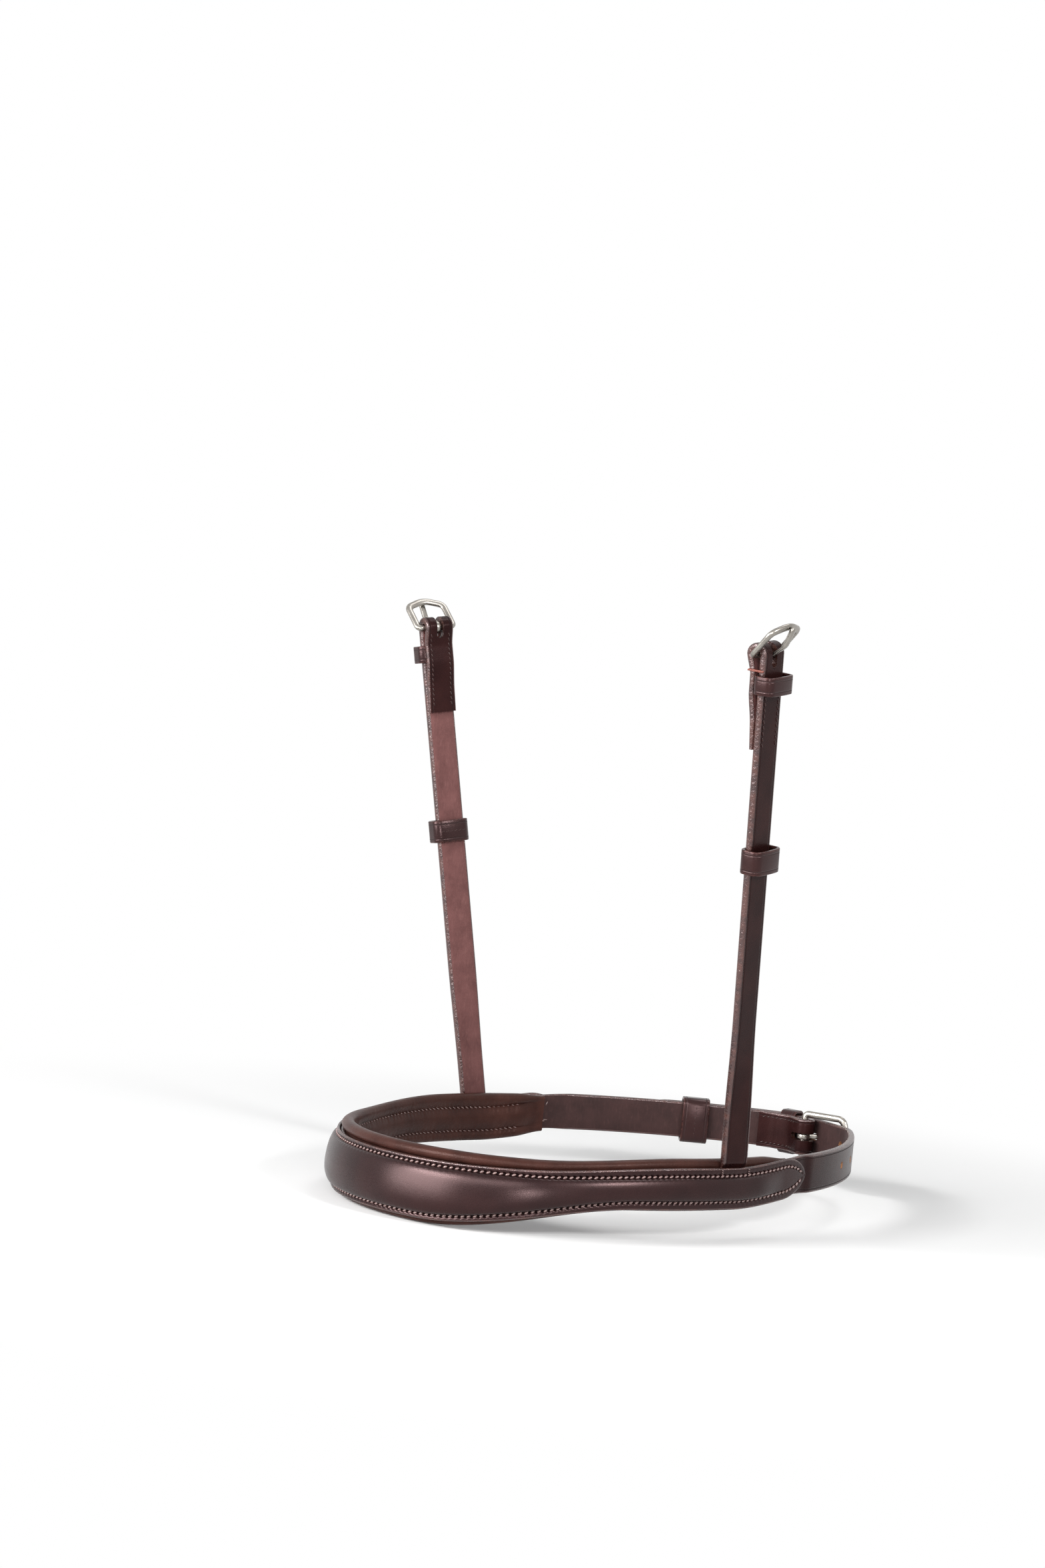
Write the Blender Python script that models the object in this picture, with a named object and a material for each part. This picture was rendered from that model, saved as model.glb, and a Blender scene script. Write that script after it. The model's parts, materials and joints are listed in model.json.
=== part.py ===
"""Cavesson noseband of a full size bridle: a raised and padded nose piece, two cheek straps with their
buckles and keepers, and a jaw strap that buckles behind the jaw.

Metres, +Z up. The front of the nose faces -Y and the horse's left, or near, side is +X. The origin is the
middle of the opening for the muzzle, at half the height of the nose piece.

The band is laid out along a plan curve. A place on it is a side (+1 near, -1 far), a run (the distance along
the curve from the middle of the nose), a distance out from the inner face of the backing, and a height. A
cheek strap and any buckle are laid out in a frame of their own: x across, y along, z outwards.
"""

import math

import bmesh
import bpy
from mathutils import Matrix, Vector

MM = 0.001
NEAR, FAR = 1, -1
SIDES = (("near", NEAR), ("far", FAR))

# Clearances
FIT = 0.3 * MM  # between pieces that touch
PLAY = 0.6 * MM  # beside a strap in a keeper or a buckle
OVERRUN = 4 * MM  # how far a cutter reaches past what it cuts

# Plan of the band: a front arc, a long side arc and a corner on each side, and a straight rear
FRONT_RADIUS = 70.4 * MM
FRONT_TURN = math.radians(62)
SIDE_RADIUS = 165 * MM
SIDE_TURN = math.radians(78)
REAR_STRAIGHT = 24 * MM

# Nose piece, seen from the front
NOSE_HEIGHT = 25.6 * MM  # outer leather at the middle of the nose
CHEEK_HEIGHT = 16.8 * MM  # outer leather at the cheek straps
NOSE_ROLL = 4.9 * MM  # lining above the outer leather, at the middle of the nose
CHEEK_ROLL = 2.9 * MM
NOSE_LIP = 2.4 * MM  # lining below the outer leather
CHEEK_LIP = 1.1 * MM
NOSE_ROLL_SIZE = 5.3 * MM  # diameter of the lining's rolled upper edge
CHEEK_ROLL_SIZE = 5.0 * MM
NOSE_RIM = 2.0 * MM  # flat rim outside the stitching
CHEEK_RIM = 3.3 * MM
NOSE_TILT = math.radians(5)  # its lower edge lies further in
FULL_RUN = 24 * MM  # full height from the middle out to here
NARROW_RUN = 112 * MM  # narrowed by here

# Layers of the nose piece, from the lining outwards
LINING_WALL = 1.2 * MM
PAD_ROWS = 3.6 * MM  # depth of the padding at its rows of stitching
PAD_CROWN = 5.4 * MM  # and between them
BACKING_WALL = 1.6 * MM
OUTER_WALL = 1.6 * MM
NOSE_RAISE = 2.6 * MM  # filler under the raised middle
CHEEK_RAISE = 2.0 * MM

# Ends along the band, past the cheek straps
BACKING_PAST_CHEEK = 12 * MM
CORE_PAST_CHEEK = 26 * MM
LINING_PAST_CHEEK = 36 * MM
OUTER_PAST_CHEEK = 46 * MM
LINING_TAPER = 15 * MM
OUTER_POINT = 15 * MM
SKIVE = 6 * MM  # over which a strap thickens past the nose piece

# Jaw straps
JAW_WIDTH = 16 * MM
STRAP_WALL = 2.8 * MM
BILLET_PAST_BAR = 76.6 * MM
BILLET_POINT = 13 * MM
BILLET_LIFT = 1.3 * MM  # its loose tip stands this much higher than the strap
HOLE_DIAMETER = 3.2 * MM
HOLE_PITCH = 20.8 * MM
HOLES_SPARE = 4  # towards the near side
HOLES_TAKEN_UP = 2  # towards the tip
HOLE_STRETCH = 2.5 * MM  # of the hole in use
BAR_PAST_REAR = 5 * MM  # the buckle's bar lies on the far side of the middle of the rear
JAW_CHAPE = 25 * MM
JAW_RUNNER_PAST_BAR = 53.6 * MM
JAW_RUNNER_LENGTH = 12 * MM
JAW_RUNNER_PLAY = 0.8 * MM

# Cheek straps
CHEEK_WIDTH = 13 * MM
CHEEK_LENGTH = 205 * MM  # fold line to buckle bar
CHEEK_LEAN = math.radians(8.5)  # forwards
CHEEK_SPLAY = math.radians(6.5)  # outwards
CHEEK_TWIST = math.radians(11)  # its outer face turns this far to the rear
CHEEK_CHAPE = 37 * MM
CHEEK_OUT = 1.5 * MM  # middle of the strap's wall, out from the backing's inner face
TAIL_WALL = 1.2 * MM
TAIL_LENGTH = 12 * MM
SQUARE_RUN = 12 * MM  # the strap's end follows the band and is square to the strap by here
TWISTED_RUN = 60 * MM  # and has turned by here
RUNNER_HEIGHTS = {NEAR: 124 * MM, FAR: 116 * MM}  # middle of the lower keeper above the fold line
RUNNER_LENGTH = 9.6 * MM
BILLET_ROOM = 3.4 * MM  # in a keeper, outside the strap
SEAT_MARGIN = 5 * MM  # between the flat seat and the keeper or chape beside it

# Turned-back ends of straps, and the slot in each for its tongue
CHAPE_WALL = 2.2 * MM
CHAPE_END_WALL = 1.4 * MM
SLOT_WIDTH = 3.2 * MM
SLOT_BELOW_BAR = 4.8 * MM

# Keepers: fixed ones are sewn in between a strap and its turned-back end
FIXED_LENGTH = 7.4 * MM
FIXED_BELOW_BAR = 11.5 * MM
FIXED_WALL = 1.2 * MM
RUNNER_WALL = 1.3 * MM
KEEPER_CORNER = 1.6 * MM

# Buckles
BAR_RADIUS = 1.4 * MM
ARM_WIDTH = 3.0 * MM
ARM_DEPTH = 2.2 * MM
FRONT_BAR_WIDTH = 3.2 * MM
FRONT_BAR_DEPTH = 2.4 * MM
FRAME_CORNER = 3.2 * MM
FRAME_FOOT = 1.6 * MM
FRAME_ARCH = 1.6 * MM
CHEEK_REACH = 13.5 * MM
JAW_REACH = 19 * MM
CHEEK_TILT = math.radians(40)
JAW_TILT = math.radians(22)
TONGUE_WALL = 1.2 * MM  # round the bar
TONGUE_DEPTH = 1.8 * MM  # past it
TONGUE_WIDTH = 2.4 * MM
TONGUE_TIP_WIDTH = 1.6 * MM
TONGUE_OVERHANG = 1.6 * MM
TONGUE_TURN = math.radians(265)  # of its eye round the bar
KNEE_AHEAD = 3.8 * MM  # of the bar, where the tongue bends down onto the billet
KNEE_ROUNDING = 2.0 * MM

# Facets
FRONT_STEPS = 7
SIDE_STEPS = 24
CORNER_STEPS = 4
TURN_STEPS = 6
CHAPE_STEPS = 3
ROLL_STEPS = 5
EYE_STEPS = 9
HOLE_SIDES = 12
BAR_SIDES = 8
SHARP_ANGLE = math.radians(35)
EDGE_SHARE = 0.25  # of a strap's wall, taken off its edges

# Section of the raised middle: shares of its half height, and the share of its rise at each
DOME_HEIGHT_SHARES = (1.0, 0.9, 0.66, 0.3)
DOME_RISE_SHARES = (0.0, 0.55, 0.86, 0.98)
# A pointed end: shares of its length, and the share of the half width left at each
POINT_RUN_SHARES = (0.0, 0.3, 0.55, 0.78, 0.93, 1.0)
POINT_WIDTH_SHARES = (1.0, 0.93, 0.78, 0.55, 0.34, 0.17)
TAPER_SHARES = (1.0, 0.6, 0.3, 0.1)
CHAPE_SETTLED_SHARE = 0.5  # of the way from the keeper to its end, where it reaches the strap
TWIST_RUN_SHARES = (0.25, 0.5, 0.75, 1.0)  # of the length over which a cheek strap turns
BILLET_LIFT_SHARES = (1.0, 0.2)  # of its point, back from its tip, where it starts and stops rising
BUCKLE_CORNER_SHARE = 0.74  # of a quarter turn, and the arch of the front bar makes up the rest
ARCH_SHARES = (0.5, 0.0, -0.5)
ROUND_END_SHARES = (0.97, 0.75, 0.0)  # of half a strap's wall, down from its fold line

# Plan, worked out
FRONT_END = FRONT_RADIUS * FRONT_TURN
SIDE_END = FRONT_END + SIDE_RADIUS * SIDE_TURN
SIDE_CENTRE_X = (FRONT_RADIUS - SIDE_RADIUS) * math.sin(FRONT_TURN)
SIDE_CENTRE_BACK = FRONT_RADIUS + (SIDE_RADIUS - FRONT_RADIUS) * math.cos(FRONT_TURN)
CORNER_START = FRONT_TURN + SIDE_TURN
CORNER_START_X = SIDE_CENTRE_X + SIDE_RADIUS * math.sin(CORNER_START)
CORNER_RADIUS = (CORNER_START_X - REAR_STRAIGHT / 2) / math.sin(CORNER_START)
CORNER_CENTRE_BACK = SIDE_CENTRE_BACK - (SIDE_RADIUS - CORNER_RADIUS) * math.cos(CORNER_START)
CORNER_END = SIDE_END + CORNER_RADIUS * (math.pi - CORNER_START)
HALF_ROUND = CORNER_END + REAR_STRAIGHT / 2
PLAN_LENGTH = CORNER_CENTRE_BACK + CORNER_RADIUS
FRONT_Y = -PLAN_LENGTH / 2

# Places along the band, worked out
CHEEK_RUN = FRONT_END + SIDE_RADIUS * (math.pi / 2 - FRONT_TURN)  # where the band is widest
BACKING_RUN = CHEEK_RUN + BACKING_PAST_CHEEK
CORE_RUN = CHEEK_RUN + CORE_PAST_CHEEK
LINING_RUN = CHEEK_RUN + LINING_PAST_CHEEK
OUTER_RUN = CHEEK_RUN + OUTER_PAST_CHEEK
STRAP_RUN = OUTER_RUN + SKIVE  # jaw straps have their full wall from here
BAR_RUN = HALF_ROUND - BAR_PAST_REAR  # jaw buckle's bar, on the far side
BILLET_TIP = HALF_ROUND + BAR_PAST_REAR + BILLET_PAST_BAR  # from the near side, past the rear

# Heights, worked out
TOP = (NOSE_HEIGHT + NOSE_ROLL + NOSE_LIP) / 2  # of the roll and the jaw straps, level all round
JAW_HEIGHT = TOP - JAW_WIDTH / 2
UP = Vector((0, 0, 1))
X_AXIS, Y_AXIS, Z_AXIS = Matrix.Identity(3)  # of a cheek strap's or a buckle's own frame
INWARDS = (0, -1)

# Layers, worked out
OUTER_IN = BACKING_WALL + FIT
BAR_BEHIND = BAR_RADIUS + FIT  # a bar's axis lies this far behind its strap's inner face
TURN_RADIUS = BAR_BEHIND + STRAP_WALL / 2  # of a strap's middle round a bar
BILLET_OVER = STRAP_WALL + FIT  # billet's inner face where it lies on a strap
KEEPER_GAP = FIXED_WALL + 2 * FIT  # between a strap and its turned-back end, for a fixed keeper
TONGUE_RADIUS = BAR_BEHIND + TONGUE_WALL / 2
KNEE_OUT = BAR_BEHIND + 2 * (STRAP_WALL + FIT) + TONGUE_DEPTH / 2


# Materials


def principled(name, colour, roughness, metallic=0.0):
    material = bpy.data.materials.new(name)
    material.use_nodes = True
    shader = material.node_tree.nodes["Principled BSDF"]
    shader.inputs["Base Color"].default_value = (*colour, 1.0)
    shader.inputs["Roughness"].default_value = roughness
    shader.inputs["Metallic"].default_value = metallic
    material.diffuse_color = (*colour, 1.0)
    return material


def make_materials():
    return {
        "bridle": principled("bridle_leather", (0.055, 0.022, 0.018), 0.34),
        "lining": principled("lining_leather", (0.085, 0.036, 0.026), 0.55),
        "filler": principled("leatherboard_filler", (0.30, 0.20, 0.12), 0.85),
        "foam": principled("pad_foam", (0.55, 0.52, 0.45), 0.95),
        "steel": principled("stainless_steel", (0.56, 0.54, 0.51), 0.28, 1.0),
    }


# Building


def add_object(name, model, material=None, parent=None):
    """Turns a bmesh into an object. One with no material is a cutter."""
    bmesh.ops.recalc_face_normals(model, faces=model.faces)
    mesh = bpy.data.meshes.new(name)
    model.to_mesh(mesh)
    model.free()
    made = bpy.data.objects.new(name, mesh)
    bpy.context.scene.collection.objects.link(made)
    made.parent = parent
    if material:
        mesh.materials.append(material)
        mesh.shade_smooth()
        mesh.set_sharp_from_angle(angle=SHARP_ANGLE)
    else:
        made.hide_render = True
        made.display_type = "WIRE"
    return made


def add_empty(name, matrix, parent=None):
    made = bpy.data.objects.new(name, None)
    bpy.context.scene.collection.objects.link(made)
    made.empty_display_size = JAW_WIDTH
    made.parent = parent
    made.matrix_local = matrix
    return made


def frame_at(origin, across, along, out):
    """Matrix of a frame from its origin and its three axes."""
    matrix = Matrix((across, along, out)).transposed().to_4x4()
    matrix.translation = origin
    return matrix


def bridge(model, first, second):
    """Quads between two loops of vertices."""
    for i in range(len(first)):
        j = (i + 1) % len(first)
        model.faces.new((first[i], first[j], second[j], second[i]))


def add_loops(model, rings):
    """Loops of vertices through rings of points, each bridged to the next."""
    loops = [[model.verts.new(point) for point in ring] for ring in rings]
    for first, second in zip(loops, loops[1:]):
        bridge(model, first, second)
    return loops


def loft(name, rings, material, parent=None, closed=False):
    """A solid through rings of points, capped at both ends or joined end to end."""
    model = bmesh.new()
    loops = add_loops(model, rings)
    if closed:
        bridge(model, loops[-1], loops[0])
    else:
        model.faces.new(loops[0])
        model.faces.new(loops[-1])
    return add_object(name, model, material, parent)


def sleeve(name, outer_rings, inner_rings, material, parent=None):
    """A band with a hole through it: an outer and an inner skin, joined at both ends."""
    model = bmesh.new()
    outer, inner = add_loops(model, outer_rings), add_loops(model, inner_rings)
    bridge(model, outer[0], inner[0])
    bridge(model, outer[-1], inner[-1])
    return add_object(name, model, material, parent)


def cut(made, outlines, name):
    """Cuts prisms out of an object. Each is an outline and the half depth that it reaches to either side."""
    model = bmesh.new()
    for outline, depth in outlines:
        loops = add_loops(model, [[point + step for point in outline] for step in (-depth, depth)])
        for loop in loops:
            model.faces.new(loop)
    modifier = made.modifiers.new(name, "BOOLEAN")
    modifier.operation = "DIFFERENCE"
    modifier.solver = "EXACT"
    modifier.object = add_object(name, model, parent=made.parent)


def arc(centre, radius, start, end, steps):
    """Points of an arc as pairs, from start to end in radians."""
    a, b = centre
    angles = [lerp(start, end, i / steps) for i in range(steps + 1)]
    return [(a + radius * math.cos(angle), b + radius * math.sin(angle)) for angle in angles]


def rounded_outline(low, high, radius):
    """A rectangle with rounded corners, as pairs, from its low corner to its high one."""
    (a0, b0), (a1, b1) = low, high
    left, right, bottom, top = a0 + radius, a1 - radius, b0 + radius, b1 - radius
    points = []
    for quarter, centre in enumerate(((right, top), (left, top), (left, bottom), (right, bottom))):
        points += arc(centre, radius, quarter * math.pi / 2, (quarter + 1) * math.pi / 2, 2)
    return points


# The plan of the band and the sizes that change along it


def lerp(first, second, share):
    return first + (second - first) * share


def ease(value, start, end):
    """0 before start, 1 after end, smooth between."""
    share = min(max((value - start) / (end - start), 0.0), 1.0)
    return share * share * (3 - 2 * share)


def plan(side, run):
    """Point, outward direction and forward direction at a run, which may pass the front or the rear."""
    if run > HALF_ROUND:
        point, outward, forward = plan(-side, 2 * HALF_ROUND - run)
        return point, outward, -forward
    if run < 0:
        point, outward, forward = plan(-side, -run)
        return point, outward, -forward
    if run < FRONT_END:
        heading = run / FRONT_RADIUS
        x = FRONT_RADIUS * math.sin(heading)
        back = FRONT_RADIUS * (1 - math.cos(heading))
    elif run < SIDE_END:
        heading = FRONT_TURN + (run - FRONT_END) / SIDE_RADIUS
        x = SIDE_CENTRE_X + SIDE_RADIUS * math.sin(heading)
        back = SIDE_CENTRE_BACK - SIDE_RADIUS * math.cos(heading)
    elif run < CORNER_END:
        heading = CORNER_START + (run - SIDE_END) / CORNER_RADIUS
        x = REAR_STRAIGHT / 2 + CORNER_RADIUS * math.sin(heading)
        back = CORNER_CENTRE_BACK - CORNER_RADIUS * math.cos(heading)
    else:
        heading = math.pi
        x = HALF_ROUND - run
        back = PLAN_LENGTH
    outward = Vector((side * math.sin(heading), -math.cos(heading), 0))
    forward = Vector((side * math.cos(heading), math.sin(heading), 0))
    return Vector((side * x, FRONT_Y + back, 0)), outward, forward


def runs_between(start, end, extra=()):
    """Runs from start to end, one at each facet of the plan and one at each extra run."""
    marks = [lerp(0, FRONT_END, i / FRONT_STEPS) for i in range(FRONT_STEPS)]
    marks += [lerp(FRONT_END, SIDE_END, i / SIDE_STEPS) for i in range(SIDE_STEPS)]
    marks += [lerp(SIDE_END, CORNER_END, i / CORNER_STEPS) for i in range(CORNER_STEPS + 1)]
    marks += [-run for run in marks] + [2 * HALF_ROUND - run for run in marks]
    kept = [start, end, *extra]
    for run in marks:
        if start < run < end and min(abs(run - other) for other in kept) > SKIVE / 4:
            kept.append(run)
    return sorted(run for run in set(kept) if start <= run <= end)


def narrowing(run):
    return ease(abs(run), FULL_RUN, NARROW_RUN)


def rim_width(run):
    return lerp(NOSE_RIM, CHEEK_RIM, narrowing(run))


def half_height(run):
    """Half the height of the outer leather, leaving out its pointed ends."""
    return lerp(NOSE_HEIGHT, CHEEK_HEIGHT, narrowing(run)) / 2


def middle(run):
    """Height of the outer leather's middle. Past the cheek straps it rises to that of the jaw straps."""
    roll = lerp(NOSE_ROLL, CHEEK_ROLL, narrowing(run))
    return lerp(TOP - roll - half_height(run), JAW_HEIGHT, ease(abs(run), CHEEK_RUN, OUTER_RUN))


def row(run):
    """How far each row of stitching is from the middle."""
    return half_height(run) - rim_width(run)


def raised(run):
    """Thickness of the filler, which fades out before the outer leather's point."""
    full = lerp(NOSE_RAISE, CHEEK_RAISE, narrowing(run))
    return full * (1 - ease(abs(run), CORE_RUN - LINING_TAPER, OUTER_RUN - OUTER_POINT))


def pointed(share):
    """Share of the width that is left at a share of the way along a pointed end."""
    for i in range(1, len(POINT_RUN_SHARES)):
        if share <= POINT_RUN_SHARES[i]:
            start, end = POINT_RUN_SHARES[i - 1 : i + 1]
            part = max((share - start) / (end - start), 0.0)
            return lerp(*POINT_WIDTH_SHARES[i - 1 : i + 1], part)
    return POINT_WIDTH_SHARES[-1]


def point_runs(tip, length):
    return [tip - length * (1 - share) for share in POINT_RUN_SHARES]


def sweep(name, runs, section, material):
    """Lofts a section along the band. It gives the (out, height) pairs of its outline at a run."""
    rings = []
    for run in runs:
        point, outward, _ = plan(NEAR, run)
        slope = math.tan(NOSE_TILT) * (1 - narrowing(run))
        ring = [(out + (height - TOP) * slope, height) for out, height in section(run)]
        rings.append([point + outward * out + UP * height for out, height in ring])
    return loft(name, rings, material)


# Nose piece


def mirrored(upper):
    """An outline from its upper half, given as pairs from one edge of the middle to the other."""
    return upper + [(out, -height) for out, height in reversed(upper)]


def dome(out, half, rise):
    """Upper half of a raised middle, as pairs from its edge to its middle."""
    return [(out + rise * up, half * high) for high, up in zip(DOME_HEIGHT_SHARES, DOME_RISE_SHARES)]


def outer_section(run):
    """The outer leather: flat rims and a raised middle, hollow behind for its filler."""
    share = 1 - (OUTER_RUN - abs(run)) / OUTER_POINT
    left = pointed(max(share, 0.0))
    half, line, rise = half_height(run) * left, row(run) * left, raised(run)
    edge, face, inner = OUTER_WALL * EDGE_SHARE, OUTER_IN + OUTER_WALL, line - OUTER_WALL / 4 * left
    rim = [(OUTER_IN, half - edge), (OUTER_IN + edge, half), (face - edge, half), (face, half - edge)]
    upper = list(reversed(dome(OUTER_IN, inner, rise))) + rim + dome(face, line, rise)
    return [(out, middle(run) + height) for out, height in mirrored(upper)]


def core_section(run):
    """The filler that raises the outer leather's middle."""
    upper = dome(OUTER_IN, row(run) - OUTER_WALL / 4 - FIT, raised(run) - FIT)
    return [(out, middle(run) + height) for out, height in mirrored(upper)]


def backing_section(run):
    half = sewn_width(run) / 2
    return [(out, middle(run) + height) for out, height in mirrored([(0, half), (BACKING_WALL, half)])]


def sewn_width(run):
    """Width of what is sewn in behind the outer leather."""
    return 2 * half_height(run) - CHEEK_RIM / 2


def padding_outline(run, inset, lip):
    """Outline of the padding, inset by a distance, from its upper edge at lip above the middle, over the
    upper roll, down the crowned inner face, round the lower roll and up to its lower edge."""
    full = 1 - ease(abs(run), LINING_RUN - LINING_TAPER, LINING_RUN)
    lip_below = lerp(NOSE_LIP, CHEEK_LIP, narrowing(run))
    roll = lerp(LINING_WALL, lerp(NOSE_ROLL_SIZE, CHEEK_ROLL_SIZE, narrowing(run)) / 2, full)
    low_roll = lerp(LINING_WALL, (lip_below + rim_width(run)) / 2, full)
    rows, crown = lerp(2 * LINING_WALL, PAD_ROWS, full), lerp(2 * LINING_WALL, PAD_CROWN, full)
    centre, line = middle(run), row(run)
    high = TOP - LINING_WALL * (1 - full) - roll
    low = (-FIT - low_roll, centre - half_height(run) - lip_below * full + low_roll)
    top = (lerp(-FIT - roll, roll_out(run, roll, high), full), high)
    start = -math.acos(max(min((-FIT - inset - top[0]) / (roll - inset), 1.0), -1.0))
    points = [(-FIT - inset, centre + lip)]
    points += arc(top, roll - inset, start, math.pi, ROLL_STEPS)
    points += [(inset - rows, centre + line), (inset - crown, centre), (inset - rows, centre - line)]
    points += arc(low, low_roll - inset, math.pi, 2 * math.pi, ROLL_STEPS - 2)
    points.append((-FIT - inset, centre - lip))
    return points


def roll_out(run, roll, height):
    """How far out the upper roll's axis lies. The roll leans over the backing's edge as far as it can."""
    above = height - middle(run) - sewn_width(run) / 2
    clear = (roll + FIT) ** 2 - above * above
    return min(BACKING_WALL - roll, -math.sqrt(max(clear, 0.0)))


def lining_wall(run):
    return lerp(LINING_WALL, LINING_WALL / 2, ease(abs(run), LINING_RUN - LINING_TAPER, LINING_RUN))


def lining_section(run):
    """A channel of thin leather, open towards the backing, with both edges caught by the stitching."""
    lip = row(run) - LINING_WALL
    return padding_outline(run, 0, lip) + list(reversed(padding_outline(run, lining_wall(run), lip)))


def foam_section(run):
    """The padding fills the lining and reaches out to the backing between its edges."""
    lip = row(run) - LINING_WALL - FIT
    inside = padding_outline(run, lining_wall(run) + FIT, lip)
    return [(-FIT, middle(run) + lip)] + inside + [(-FIT, middle(run) - lip)]


def make_nose_piece(materials):
    """The five layers of the nose piece, from the outside in."""
    ends = point_runs(OUTER_RUN, OUTER_POINT)
    runs = runs_between(-OUTER_RUN, OUTER_RUN, ends + [-run for run in ends])
    sweep("nose_outer_leather", runs, outer_section, materials["bridle"])
    sweep("raising_core", runs_between(-CORE_RUN, CORE_RUN), core_section, materials["filler"])
    runs = runs_between(-BACKING_RUN, BACKING_RUN)
    backing = sweep("nose_backing", runs, backing_section, materials["bridle"])
    cut(backing, [tail_notch(side) for _, side in SIDES], "cheek_tail_notches")
    ends = [LINING_RUN - LINING_TAPER * share for share in TAPER_SHARES]
    runs = runs_between(-LINING_RUN, LINING_RUN, ends + [-run for run in ends])
    sweep("lining_leather", runs, lining_section, materials["lining"])
    foam_run = LINING_RUN - LINING_TAPER
    sweep("pad_foam", runs_between(-foam_run, foam_run), foam_section, materials["foam"])


# Straps


def strap_ring(centre, through, across, wall, width):
    """Eight points round a strap: through its wall and across its width, with its edges eased."""
    t, w, e = wall / 2, width / 2, wall * EDGE_SHARE
    corners = [(t, w - e), (t - e, w), (e - t, w), (-t, w - e)]
    corners += [(-a, -b) for a, b in corners]
    return [centre + through * a + across * b for a, b in corners]


def jaw_ring(side, run, out, height, wall, width):
    """The same for a strap on the band, from how far out its inner face is."""
    point, outward, _ = plan(side, run)
    return strap_ring(point + outward * (out + wall / 2) + UP * height, outward, UP, wall, width)


def jaw_wall(run):
    return lerp(BACKING_WALL, STRAP_WALL, ease(run, OUTER_RUN, STRAP_RUN))


def jaw_width(run):
    return lerp(sewn_width(run), JAW_WIDTH, ease(run, LINING_RUN, STRAP_RUN))


def jaw_middle(run):
    return middle(min(run, OUTER_RUN))


def turned_back(end):
    """A strap past its bar, as (along, out, wall, direction through the wall), with the bar at 0, the strap's
    middle at out 0 and along pointing past the bar. It goes round the bar, in to the fixed keeper, which is
    sewn in between it and the strap, and lies flat on the strap to its end."""
    path = []
    for i in range(1, TURN_STEPS + 1):
        through = (math.sin(math.pi * i / TURN_STEPS), math.cos(math.pi * i / TURN_STEPS))
        path.append((TURN_RADIUS * through[0], TURN_RADIUS * (through[1] - 1), STRAP_WALL, through))
    over_keeper = -STRAP_WALL / 2 - KEEPER_GAP - CHAPE_WALL / 2
    keeper_end = FIXED_BELOW_BAR + FIXED_LENGTH / 2 + FIT
    keeper_start = FIXED_BELOW_BAR - FIXED_LENGTH / 2 - FIT
    marks = [(mark, over_keeper, CHAPE_WALL) for mark in (keeper_start, keeper_end)]
    on_strap = -STRAP_WALL / 2 - FIT - CHAPE_WALL / 2
    marks += [(lerp(keeper_end, end, CHAPE_SETTLED_SHARE), on_strap, CHAPE_WALL)]
    marks += [(end, -STRAP_WALL / 2 - FIT - CHAPE_END_WALL / 2, CHAPE_END_WALL)]
    path.append((-marks[0][0], *marks[0][1:], INWARDS))
    for first, second in zip(marks, marks[1:]):
        for i in range(1, CHAPE_STEPS + 1):
            along, out, wall = [lerp(a, b, i / CHAPE_STEPS) for a, b in zip(first, second)]
            path.append((-along, out, wall, INWARDS))
    return path


def billet_out(run):
    """The billet leaves the band behind the front bar and lies on the far strap from the buckle's bar on."""
    bar = HALF_ROUND + BAR_PAST_REAR
    return BILLET_OVER * ease(run, bar - JAW_REACH - BAR_RADIUS, bar - BAR_RADIUS)


def make_near_billet(materials):
    """The near jaw strap: round the rear, through the buckle and along the outside of the far strap."""
    tip = point_runs(BILLET_TIP, BILLET_POINT)
    lifting = [BILLET_TIP - BILLET_POINT * share for share in BILLET_LIFT_SHARES]
    extra = [OUTER_RUN, STRAP_RUN, HALF_ROUND, HALF_ROUND + BAR_PAST_REAR - JAW_REACH / 2, *tip]
    rings = []
    for run in runs_between(BACKING_RUN + FIT, BILLET_TIP, extra):
        width = jaw_width(run) * pointed(max(1 - (BILLET_TIP - run) / BILLET_POINT, 0.0))
        height = jaw_middle(run) + BILLET_LIFT * ease(run, *lifting)
        rings.append(jaw_ring(NEAR, run, billet_out(run), height, jaw_wall(run), width))
    billet = loft("near_jaw_billet", rings, materials["bridle"])
    cut(billet, billet_holes(), "billet_hole_cutter")


def billet_holes():
    """Outlines of the punched holes. The one in use has stretched along the strap."""
    outlines = []
    step = 2 * math.pi / HOLE_SIDES
    circle = arc((0, 0), HOLE_DIAMETER / 2, step / 2, 2 * math.pi - step / 2, HOLE_SIDES - 1)
    for number in range(-HOLES_SPARE, HOLES_TAKEN_UP + 1):
        run = HALF_ROUND + BAR_PAST_REAR - tongue_crossing() + number * HOLE_PITCH
        stretch = HOLE_STRETCH / 2 if number == 0 else 0.0
        point, outward, forward = plan(NEAR, run)
        centre = point + outward * (billet_out(run) + STRAP_WALL / 2) + UP * JAW_HEIGHT
        stretched = [(along + math.copysign(stretch, along), up) for along, up in circle]
        outline = [centre + forward * along + UP * up for along, up in stretched]
        outlines.append((outline, outward * STRAP_WALL))
    return outlines


def slot_outline(origin, across, along):
    """Outline of the slot for a tongue, across a fold round the bar at the origin."""
    half, start, end = SLOT_WIDTH / 2, -SLOT_BELOW_BAR, TURN_RADIUS + STRAP_WALL
    corners = ((-half, start), (half, start), (half, end), (-half, end))
    return [origin + across * a + along * b for a, b in corners]


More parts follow.
